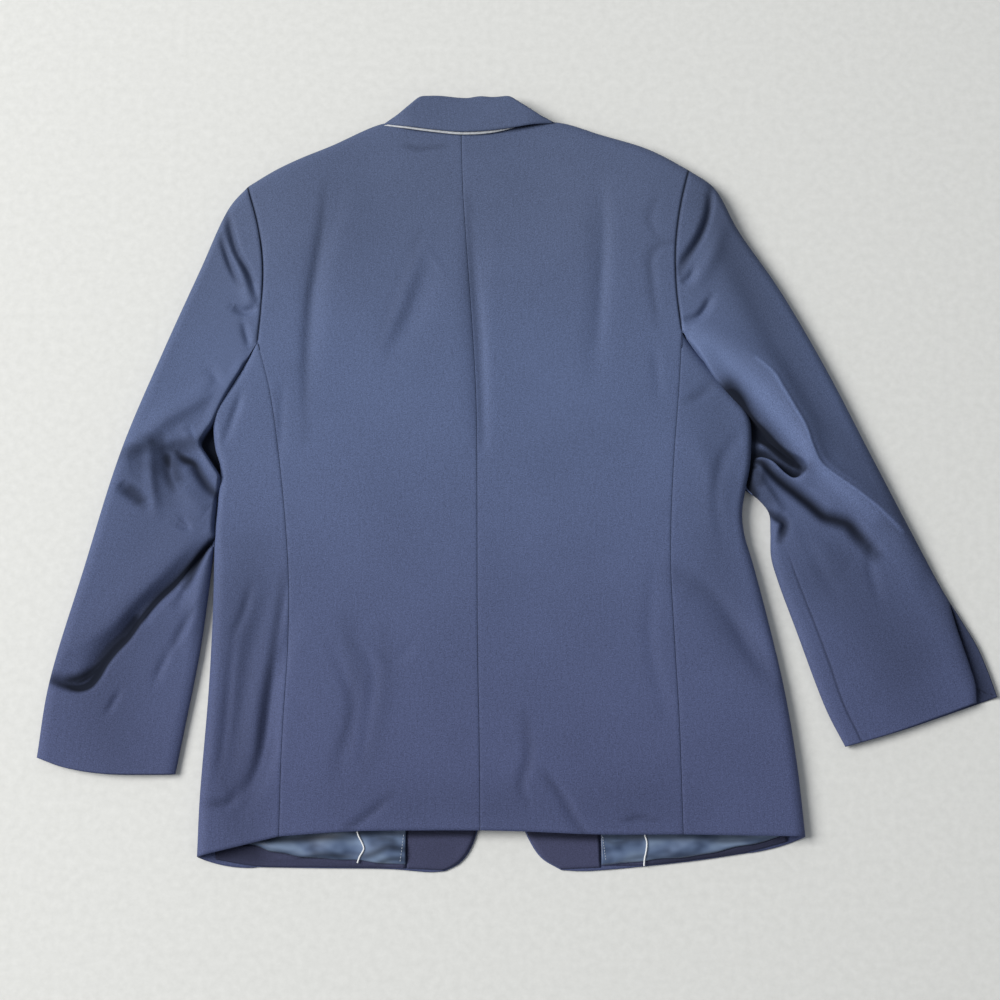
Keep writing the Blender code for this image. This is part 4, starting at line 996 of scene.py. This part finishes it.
def back_panel(name, side):
    outer, centre_line = level_borders(side, "side_seam", Curve(CENTRE_BACK))
    hem_curve, top_curve = Curve(side["back_hem"]), Curve(side["shoulder"])
    hem = hem_curve.at(stations(hem_curve.length, "seam", "seam"))
    cells = len(hem) - 1 - 2 * (len(SEAM_STEPS) - 1)
    top = top_curve.at(stations(top_curve.length, "seam", "seam", cells=cells))
    grid = drawn_in(coons(centre_line, outer, hem, top), ["left", "right"])
    to_centre, to_side = from_border(grid, 1, False), from_border(grid, 1, True)
    at_armhole = (np.arange(len(outer)) > SEAM_ROWS)[:, None] * 1.0
    side_depth = SIDE_GROOVE[0] + (ARMHOLE_GROOVE[0] - SIDE_GROOVE[0]) * at_armhole
    points = laid(grid, body_height, lambda x, y: body_middle(x, y) + GAP,
                  [(from_border(grid, 0, True), ROLL)],
                  [(to_centre, *CENTRE_GROOVE), (to_side, side_depth, SIDE_GROOVE[1])])
    # Dark seam lines, partly the seams' own joints and partly painted shade in their grooves, over the body's
    # painted shade
    at_top = smooth_step(60.0, 180.0, grid[..., 1])
    strength, reach = SIDE_LINE
    line = groove(to_centre, 0.17 - 0.07 * at_top, 1.0) + groove(to_side, strength + 0.5 * at_armhole, reach)
    line = stronger_painted_mark(line, shade(grid[..., 0], grid[..., 1], BODY_SHADES))
    cloth(name, points, NAVY_WOOL, seam=line)


def front_panel(name, side):
    outer, edge_line = level_borders(side, "front_seam", Curve(side["front_edge"]))
    hem = Curve(side["front_hem"]).even(HEM_CELLS)
    top = Curve(side["front_top"]).even(HEM_CELLS)[::-1]
    grid = drawn_in(coons(outer, edge_line, hem, top), ["left"])
    points = laid(grid, lift_over_lapel, lambda x, y: body_middle(x, y) - GAP,
                  [(from_border(grid, 0, True), ROLL)])
    cloth(name, points, NAVY_WOOL, up=False, thickness=1.6)


NARROWEST = 16.0  # the width below which a row's roll gets smaller
LAST_SHARES = (0.955, 0.975, 0.99, 1.0)  # finer columns beside the seam


def side_rows(start, fold_line, cells):
    """Rows of plan points from the fold line in to a seam, with the same steps in the roll on every row."""
    across = start - fold_line
    width = np.linalg.norm(across, axis=-1, keepdims=True)
    unit = across / width
    rolls = roll_steps()
    shares = np.concatenate([np.linspace(0.0, 0.93, cells - len(LAST_SHARES) + 1)[1:], LAST_SHARES])
    columns = [fold_line + unit * np.minimum(step, width * step / NARROWEST) for step in rolls]
    last = np.minimum(rolls[-1], width * rolls[-1] / NARROWEST)
    columns += [fold_line + unit * (last + (width - last) * share) for share in shares]
    return np.stack(columns, axis=1)


# Where the sleeve lies on the side fold it presses it down and rounder, and below it the fold is sharper
FREE_ROWS_START = -50.0
PRESSED_ROLL, FREE_ROLL = 9.0, -4.0
PRESSED_BY, PRESSED_REACH = 3.2, 14.0


def side_panel(name, side, under_sleeve, hem_drop):
    """under_sleeve: the rows (low y, high y) where the sleeve lies on the fold. hem_drop: how far the lower
    layer's hem hangs below a straight line."""
    fold_line = Curve(side["side_fold"]).even(SEAM_ROWS)
    seams = (Curve(side[seam]).even(SEAM_ROWS) for seam in ("side_seam", "front_seam"))
    above, below = (drawn_in(side_rows(seam, fold_line, SIDE_CELLS), ["right", "top"]) for seam in seams)
    across = share_along(below[0])[None, :]
    at_hem = 1 - smooth_step(0.0, 20.0, from_border(below, 0, False))
    below[..., 1] -= hem_drop * np.sin(np.pi * across) ** 0.7 * at_hem
    roll_above, roll_below = from_border(above, 1, False), from_border(below, 1, False)
    to_seam, to_top = from_border(above, 1, True), from_border(above, 0, True)
    low_y, high_y = under_sleeve
    pressed = window(fold_line[:, 1], low_y, high_y, 18.0)[:, None]
    free = window(fold_line[:, 1], FREE_ROWS_START, low_y, 14.0)[:, None]
    reach = ROLL + PRESSED_ROLL * pressed + FREE_ROLL * free
    sunk = -PRESSED_BY * pressed
    top = laid(above, body_height, body_middle, [(roll_above, reach)],
               [(to_seam, *SIDE_GROOVE), (to_top, *ARMPIT_GROOVE)],
               sunk * np.exp(-((roll_above / PRESSED_REACH) ** 2)))
    low = laid(below, flat, body_middle, [(roll_below, ROLL)],
               edge_lift=sunk * np.exp(-((roll_below / PRESSED_REACH) ** 2)))
    low[..., 2] += 1.1 * CLOTH * (1 - smooth_step(20.0, 45.0, from_border(below, 0, True)))
    points = np.concatenate([top[:, ::-1], low[:, 1:]], axis=1)
    # Dark seam line, partly painted shade in its groove, over the body's painted shade
    line = stronger_painted_mark(groove(to_seam, *SIDE_LINE), shade(above[..., 0], above[..., 1], BODY_SHADES))
    line = np.concatenate([line[:, ::-1], np.zeros(low[:, 1:].shape[:2])], axis=1)
    cloth(name, points, NAVY_WOOL, seam=line, split=top.shape[1])


# Where the sleeve's inner fold lies on the body it is flatter and higher
LYING_ROLL, LYING_LIFT, LYING_REACH = 7.0, 3.0, 9.0
# Painted shade in a trough starts and is full at these depths
LOW_SHARES = (0.28, 0.68)  # how deep a trough lies, as shares of the height, where it gets dark
WRAP_SEAM_ROWS = (-95.0, -60.0)  # the seam of the wrap shows below these rows


def sleeve(label, parts, side, folds, tucks, shades, over_body):
    """over_body: the rows (low y, high y) where the sleeve's inner fold lies on the body."""
    height = sleeve_height(folds)
    armhole = armhole_points(side, SLEEVE_CELL)[::-1]
    cells = len(armhole) - 1
    side_top = Curve(side["side_fold"]).even(SEAM_ROWS)[-1]
    underarm = side_rows(armhole[-1][None], side_top[None], WRAP_CELLS - ROLL_CELLS)[0][::-1]
    cap = np.vstack([armhole, underarm[1:]])
    outer = Curve(parts["outer"]).even(SLEEVE_ROWS)
    inner = Curve(parts["inner"]).even(SLEEVE_ROWS)
    cuff_curve = Curve(parts["cuff"])
    rolls = roll_steps()
    wrap = np.concatenate([rolls[:-1], np.linspace(rolls[-1], parts["wrap"], WRAP_CELLS - ROLL_CELLS + 1)])
    middle_cells = np.linspace(rolls[-1], cuff_curve.length - wrap[-1], cells - ROLL_CELLS + 1)
    across = np.concatenate([rolls[:-1], middle_cells, (cuff_curve.length - wrap[::-1])[1:]])
    grid = settled(coons(outer, inner, cuff_curve.at(across), cap), wrap, cells)
    to_outer, to_inner = from_border(grid, 1, False), from_border(grid, 1, True)
    lying = window(inner[:, 1], *over_body, 14.0)[:, None]
    lift = LYING_LIFT * lying * np.exp(-((to_inner / LYING_REACH) ** 2))

    # One shell carries the whole upper face. The seam of its wrap shows only towards the right cuff
    plan = grid if parts["vent"] is None else opened_at_vent(grid, parts["vent"])
    roll_outer = np.linalg.norm(plan - plan[:, :1], axis=-1)
    seam_strength = parts["seam"] * (1 - smooth_step(*WRAP_SEAM_ROWS, inner[:, 1])[:, None])
    to_seam = np.abs(to_inner - to_inner[:, cells: cells + 1])
    to_armhole = from_border(grid, 0, True)
    at_armhole = (np.arange(grid.shape[1]) <= cells)[None] * 1.0
    grooves = [(to_armhole, ARMHOLE_GROOVE[0] * at_armhole, ARMHOLE_GROOVE[1]), (to_seam, seam_strength, 1.4)]
    top = laid(plan, height, sleeve_middle, [(roll_outer, ROLL), (to_inner, ROLL - LYING_ROLL * lying)],
               grooves, lift)
    x, y = plan[..., 0], plan[..., 1]
    depth = sleeve_base(x, y) - height(x, y) + top[..., 2]
    for row in tucks:
        tuck(top, x, y, *row)

    # The part that lies inside the body's edge is pressed flat, so that it stays below the side panel
    away, turn, _, _, _ = near_path(x, y, side["side_fold"])
    outside = away * np.sign(turn) * (1 if label == "left" else -1)
    pressed = window(y, *parts["pressed_rows"], 9.0) * (1 - smooth_step(*parts["pressed"], outside))
    top[..., 2] += (PRESSED_TOP - top[..., 2]) * pressed
    depth = (depth - top[..., 2]) / sleeve_base(x, y)
    # Seam lines, partly painted shade in their grooves, over the painted shade and highlights of the folds,
    # then painted shade in the deep troughs
    strength, reach = ARMHOLE_LINE
    line = groove(to_armhole, strength * at_armhole, reach) + groove(to_seam, seam_strength, 1.2)
    dark = stronger_painted_mark(line, shade(x, y, shades))
    dark = stronger_painted_mark(MOST_DARK * smooth_step(*LOW_SHARES, depth), dark)
    # Less painted shade along the lit band inside the hollow
    dark = dark * (1 - shade(x, y, parts["band"]))
    cloth(f"undersleeve_{label}", top, NAVY_WOOL, seam=dark)

    step = parts["under_step"]
    kept = np.ix_(*(np.unique(np.append(np.arange(0, n, step), n - 1)) for n in grid.shape[:2]))
    grid, lift, to_outer, to_inner = (values[kept] for values in (grid, lift, to_outer, to_inner))
    low = laid(grid, flat, sleeve_middle, [(to_outer, ROLL), (to_inner, ROLL)], edge_lift=lift)
    low[:, 0, 2] -= GAP / 2
    to_fold = near_path(low[..., 0], low[..., 1], parts["inner"])[0]
    low[..., 2] = np.maximum(low[..., 2], 1.1 * CLOTH * np.exp(-((to_fold / 4.0) ** 2)))
    # Painted shade on the inside face where it shows at the vent
    dark = shade(low[..., 0], low[..., 1], parts["inside"])
    cloth(f"topsleeve_{label}", low, NAVY_WOOL, up=False, seam=dark)


# Columns past a roll whose points show which way a row runs, and where the rows fade into the armhole
OUTER_COLUMNS, INNER_COLUMNS = 4, 12
TOP_ROWS = 0.955
VENT_DROP, VENT_FOOT = 6.0, -208.0  # how far the vent's corner hangs, and the row where it does


def settled(grid, wrap, cells):
    """Sets the columns beside both folds at the roll's own distances, straight across each row."""
    out = grid.copy()
    steps = roll_steps()
    unit_out = grid[:, ROLL_CELLS + OUTER_COLUMNS] - grid[:, 0]
    unit_out /= np.linalg.norm(unit_out, axis=-1, keepdims=True)
    unit_in = grid[:, cells - INNER_COLUMNS] - grid[:, -1]
    unit_in /= np.linalg.norm(unit_in, axis=-1, keepdims=True)
    fade = smooth_step(TOP_ROWS, 1.0, np.linspace(0, 1, len(grid)))[:, None]
    for k in range(1, ROLL_CELLS + 1):
        out[:-1, k] = (grid[:, 0] + unit_out * steps[k])[:-1]
    for k in range(1, len(wrap)):
        placed = grid[:, -1] + unit_in * wrap[k]
        out[:, -1 - k] = placed * (1 - fade) + grid[:, -1 - k] * fade
    between = np.arange(ROLL_CELLS + 1, cells)
    share = ((between - ROLL_CELLS) / (cells - ROLL_CELLS))[None, :, None]
    moved_out = (out[:, ROLL_CELLS] - grid[:, ROLL_CELLS])[:, None]
    moved_in = (out[:, cells] - grid[:, cells])[:, None]
    out[:, between] = grid[:, between] + (1 - share) * moved_out + share * moved_in
    return out


def opened_at_vent(grid, vent):
    """Moves the rows beside the cuff's open vent in to its edge, least at the inner fold."""
    vent_curve = Curve(vent)
    top_y = vent[-1][1]
    out = grid.copy()
    order = np.argsort(vent_curve.points[:, 1])
    for i, row in enumerate(grid):
        if row[0, 1] < top_y:
            edge_y = row[0, 1] - VENT_DROP * smooth_step(top_y, VENT_FOOT, row[0, 1])
            edge_x = np.interp(edge_y, vent_curve.points[order, 1], vent_curve.points[order, 0])
            moved = np.array([edge_x, edge_y])
            weight = (1 - np.arange(len(row)) / (len(row) - 1))[:, None]
            out[i] = row + (moved - row[0]) * weight
    return out


def collar_middle(x, y):
    return 0.5 * (COLLAR_HEIGHT + STAND_LOW) + 5.0 * (1 - smooth_step(411.0, 432.0, y))


def collar_grid(edge_rows):
    """A collar layer's grid from an edge up to the collar's fold, and the borders where it turns."""
    bottom, top = Curve(edge_rows).even(COLLAR_CELLS), Curve(COLLAR_FOLD).even(COLLAR_CELLS)
    sides = []
    for k in (0, -1):
        length = np.linalg.norm(top[k] - bottom[k])
        at = np.concatenate([np.linspace(0, length - COLLAR_ROLL, 12),
                             length - roll_steps(COLLAR_ROLL)[::-1][1:]])
        sides.append(bottom[k] + (top[k] - bottom[k]) * (at / length)[:, None])
    grid = coons(sides[0], sides[1], bottom, top)
    return grid, [(from_border(grid, 0, True), COLLAR_ROLL), (from_border(grid, 1, False), END_ROLL),
                  (from_border(grid, 1, True), END_ROLL)]


def collar():
    def at_tips(x, y):
        return TIP_DROP * smooth_step(62.0, 94.0, np.abs(x - COLLAR_X)) * (1 - smooth_step(412.0, 436.0, y))

    def fall_height(x, y):
        waves = 0.35 * np.sin(x / 19.0 + 0.7) * np.sin(y / 16.0) + 0.8 * np.exp(-((y - 402.0) / 7.0) ** 2)
        return COLLAR_HEIGHT + waves - at_tips(x, y)

    grid, rolls = collar_grid(COLLAR_EDGE)
    cloth("collar_fall", laid(grid, fall_height, lambda x, y: collar_middle(x, y) + GAP, rolls), NAVY_WOOL,
          thickness=1.7)

    grid, rolls = collar_grid(NECK_SEAM)
    points = laid(grid, lambda x, y: np.full(np.shape(x), STAND_LOW),
                  lambda x, y: collar_middle(x, y) - GAP, rolls)
    cloth("collar_stand", points, NAVY_WOOL, up=False)

    edge, top = Curve(UNDERCOLLAR_EDGE).even(COLLAR_CELLS), Curve(UNDERCOLLAR_TOP).even(COLLAR_CELLS)
    sides = [np.linspace(edge[k], top[k], 8) for k in (0, -1)]
    grid = coons(sides[0], sides[1], edge, top)
    z = COLLAR_HEIGHT - FELT_DROP - 0.6 * at_tips(grid[..., 0], grid[..., 1])
    cloth("undercollar", np.dstack([grid, z]), FELT, thickness=1.2)


FACING_HEIGHT = 3.9
HEM_HEIGHT = 3.5
LINING_HEIGHT = 5.0


def facing(name, parts):
    inner, outer = Curve(parts["inner"]).even(30), Curve(parts["outer"]).even(30)
    ends = [np.linspace(inner[k], outer[k], 24) for k in (0, -1)]
    grid = coons(inner, outer, *ends)
    edge = np.minimum(from_border(grid, 1, True), from_border(grid, 0, False))
    z = FACING_HEIGHT + slack(grid[..., 0], grid[..., 1]) - 1.2 * (1 - turned(edge, 3.0))
    # Painted shadow under the back's hem
    dark = shade(grid[..., 0], grid[..., 1], HEM_SHADES)
    cloth(name, np.dstack([grid, z]), SHADED_INSIDE_WOOL, thickness=1.2, seam=dark)


def hem_turn_up(name, side, stop_x, start_x, depth):
    """The front's hem turned up inside by depth, from start_x at the side fold to stop_x at the facing."""
    rows = [row for row in side["front_hem"] if abs(row[0]) > abs(stop_x) + 6]
    fold_point = side["side_fold"][0]
    inside_fold = (start_x, fold_point[1] + (rows[0][1] - fold_point[1]) * 0.35)
    hem = Curve([inside_fold, *rows, (stop_x, rows[-1][1] - 0.5)]).even(60) + (0.0, 1.0)
    rise = depth * np.linspace(0.45, 1.0, len(hem))[:, None] * np.array([[0.0, 1.0]])
    top = hem + rise
    grid = coons(np.linspace(hem[0], top[0], 12), np.linspace(hem[-1], top[-1], 12), hem, top)
    z = HEM_HEIGHT - 0.9 * (1 - turned(from_border(grid, 0, False), 3.0))
    # Painted shadow under the back's hem
    dark = shade(grid[..., 0], grid[..., 1], HEM_SHADES)
    cloth(name, np.dstack([grid, z]), SHADED_INSIDE_WOOL, thickness=1.0, seam=dark)


def lining_height(x, y, to_low, phase):
    """The rumpled lining's height. phase shifts the rumples, so that the two sides differ."""
    rumple = 1.2 * np.sin(x / 19.0 + y / 6.5 + phase) + 0.8 * np.sin(x / 9.0 - y / 8.0 + 2.0 * phase)
    return LINING_HEIGHT + (2.0 + rumple) * turned(to_low, 9.0)


def lining(label, parts, phase, basting, picks):
    low, high = Curve(parts["low"]).even(110), Curve(parts["high"]).even(110)
    grid = coons(np.linspace(low[0], high[0], 48), np.linspace(low[-1], high[-1], 48), low, high)
    x, y = grid[..., 0].copy(), grid[..., 1].copy()
    to_low = from_border(grid, 0, False)
    sway = 0.8 * np.sin(x / 13.0 + phase) + 0.4 * np.sin(x / 6.1)
    grid[..., 1] += sway * np.exp(-to_low / 8.0)
    z = lining_height(x, y, to_low, phase)
    # Painted shadow under the back's hem and painted shade in the satin's creases
    cloth(f"lining_{label}", np.dstack([grid, z]), SATIN, thickness=0.5, seam=shade(x, y, HEM_SHADES))

    def on_lining(points, above):
        order = np.argsort(low[:, 0])
        edge = np.interp(points[:, 0], low[order, 0], low[order, 1])
        heights = lining_height(points[:, 0], points[:, 1], np.maximum(points[:, 1] - edge, 0.0), phase)
        return np.column_stack([points, heights + above])

    tube(f"basting_{label}", [on_lining(Curve(basting).even(14), 0.7)], 0.8, BASTING)
    ends = Curve(picks).even(2 * PICKS)
    dashes = [np.linspace(ends[k], ends[k + 1], 3) for k in range(0, 2 * PICKS, 2)]
    tube(f"pick_stitches_{label}", [on_lining(dash, 0.1) for dash in dashes], 0.38, PICK_THREAD)


def turned_plate(name, left, right, bottom, top):
    """A lapel or collar end: a plate of cloth with softly turned edges, its face down."""
    grid = coons(left, right, bottom, top)
    edge = np.minimum.reduce([from_border(grid, 0, False), from_border(grid, 0, True),
                              from_border(grid, 1, False), from_border(grid, 1, True)])
    z = 1.1 * (1 - turned(edge, 2.5))
    cloth(name, np.dstack([grid, z]), NAVY_WOOL, up=False, thickness=2.2)


def lapel(name, parts):
    roll, edge = Curve(parts["roll"]).even(70), Curve(parts["edge"]).even(70)
    gorge = Curve(parts["gorge"], straight=True).even(24)
    turned_plate(name, roll, edge, np.linspace(roll[0], edge[0], 25), gorge)


def collar_end(name, parts):
    roll, edge = Curve(parts["roll"]).even(34), Curve(parts["edge"]).even(34)
    end = Curve(parts["end"], straight=True).even(18)
    turned_plate(name, roll, edge, end, np.linspace(roll[-1], edge[-1], 19))


def tube(name, paths, radius, finish):
    """Threads along smooth paths of points in the layout's frame."""
    curve = bpy.data.curves.new(name, "CURVE")
    curve.dimensions = "3D"
    curve.bevel_depth = radius * MM
    curve.bevel_resolution = 2
    for path in paths:
        line = curve.splines.new("NURBS")
        line.points.add(len(path) - 1)
        for point, (x, y, z) in zip(line.points, path):
            point.co = ((x - ORIGIN_X) * MM, (y - ORIGIN_Y) * MM, z * MM, 1.0)
        line.order_u = 3
        line.use_endpoint_u = True
    curve.use_fill_caps = True
    drawn = bpy.data.objects.new(name, curve)
    mesh = bpy.data.meshes.new_from_object(drawn)
    bpy.data.objects.remove(drawn)
    mesh.name = name
    mesh.materials.clear()
    mesh.materials.append(finish[0])
    mesh.shade_smooth()
    piece = bpy.data.objects.new(name, mesh)
    bpy.context.scene.collection.objects.link(piece)
    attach(piece, "root")


def main_pieces():
    for label, side, under_sleeve, hem_drop in (("left", LEFT, (104.0, 158.0), 4.0),
                                                ("right", RIGHT, (104.0, 176.0), 2.5)):
        back_panel(f"back_{label}", side)
        side_panel(f"side_{label}", side, under_sleeve, hem_drop)
        front_panel(f"front_{label}", side)
    sleeve("left", LEFT_SLEEVE, LEFT, LEFT_SLEEVE_FOLDS, LEFT_SLEEVE_TUCKS, LEFT_SLEEVE_SHADES,
           (104.0, 160.0))
    sleeve("right", RIGHT_SLEEVE, RIGHT, RIGHT_SLEEVE_FOLDS, RIGHT_SLEEVE_TUCKS, RIGHT_SLEEVE_SHADES,
           (102.0, 175.0))
    collar()
    facing("facing_left", LEFT_FACING)
    facing("facing_right", RIGHT_FACING)
    hem_turn_up("hem_left", LEFT, -95.5, -288.0, 36.0)
    hem_turn_up("hem_right", RIGHT, 102.5, 291.0, 36.0)
    lining("left", LEFT_LINING, 0.4, LEFT_BASTING, LEFT_PICK)
    lining("right", RIGHT_LINING, 2.1, RIGHT_BASTING, RIGHT_PICK)
    lapel("lapel_left", LEFT_LAPEL)
    lapel("lapel_right", RIGHT_LAPEL)
    collar_end("collar_end_left", LEFT_COLLAR_END)
    collar_end("collar_end_right", RIGHT_COLLAR_END)
    for name in ("button_upper", "button_lower"):
        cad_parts[name].data.materials.clear()
        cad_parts[name].data.materials.append(HORN)


def light(name, place, target, size, power, colour):
    data = bpy.data.lights.new(name, "AREA")
    data.shape = "DISK"
    data.size = size
    data.energy = power
    data.color = colour
    lamp = bpy.data.objects.new(name, data)
    lamp.location = place
    aim = Vector(target) - Vector(place)
    lamp.rotation_euler = aim.to_track_quat("-Z", "Y").to_euler()
    bpy.context.scene.collection.objects.link(lamp)


FLOOR_HALF_SIZE = 6.0
FLOOR_DROP = 0.0004  # keeps the floor clear of the cloth that lies on it
CAMERA_AWAY, CAMERA_ELEVATION = 2.2, 78.0
CAMERA_LENS, CAMERA_SENSOR = 75.43, 36.0


def studio():
    work = bmesh.new()
    bmesh.ops.create_grid(work, x_segments=1, y_segments=1, size=FLOOR_HALF_SIZE)
    mesh = bpy.data.meshes.new("floor")
    work.to_mesh(mesh)
    work.free()
    n = Nodes("pale floor")
    place = n.place()
    grain = n.noise(place, 120.0, 3.0, 0.6)
    n.set(Base_Color=n.ramp(grain, ((0.3, (0.645, 0.65, 0.63)), (0.7, (0.70, 0.705, 0.685)))), Roughness=0.9)
    mesh.materials.append(n.material)
    floor = bpy.data.objects.new("floor", mesh)
    floor.location = (0.0, 0.0, -FLOOR_DROP)
    bpy.context.scene.collection.objects.link(floor)

    world = bpy.data.worlds.new("soft sky")
    world.use_nodes = True
    world.node_tree.nodes["Background"].inputs["Color"].default_value = (0.90, 0.94, 1.0, 1.0)
    world.node_tree.nodes["Background"].inputs["Strength"].default_value = 0.33
    bpy.context.scene.world = world
    light("window light", (-5.1, 0.75, 4.65), (0.0, 0.0, 0.0), 4.2, 590.0, (1.0, 0.985, 0.96))

    target = Vector((-ORIGIN_X * MM, -ORIGIN_Y * MM, 0.0))
    rise = math.radians(CAMERA_ELEVATION)
    camera = bpy.data.cameras.new("camera")
    camera.sensor_width = CAMERA_SENSOR
    camera.lens = CAMERA_LENS
    holder = bpy.data.objects.new("camera", camera)
    holder.location = target + Vector((0.0, -CAMERA_AWAY * math.cos(rise), CAMERA_AWAY * math.sin(rise)))
    holder.rotation_euler = (target - holder.location).to_track_quat("-Z", "Y").to_euler()
    bpy.context.scene.collection.objects.link(holder)
    bpy.context.scene.camera = holder
    bpy.context.scene.view_settings.view_transform = "Standard"


main_pieces()
studio()
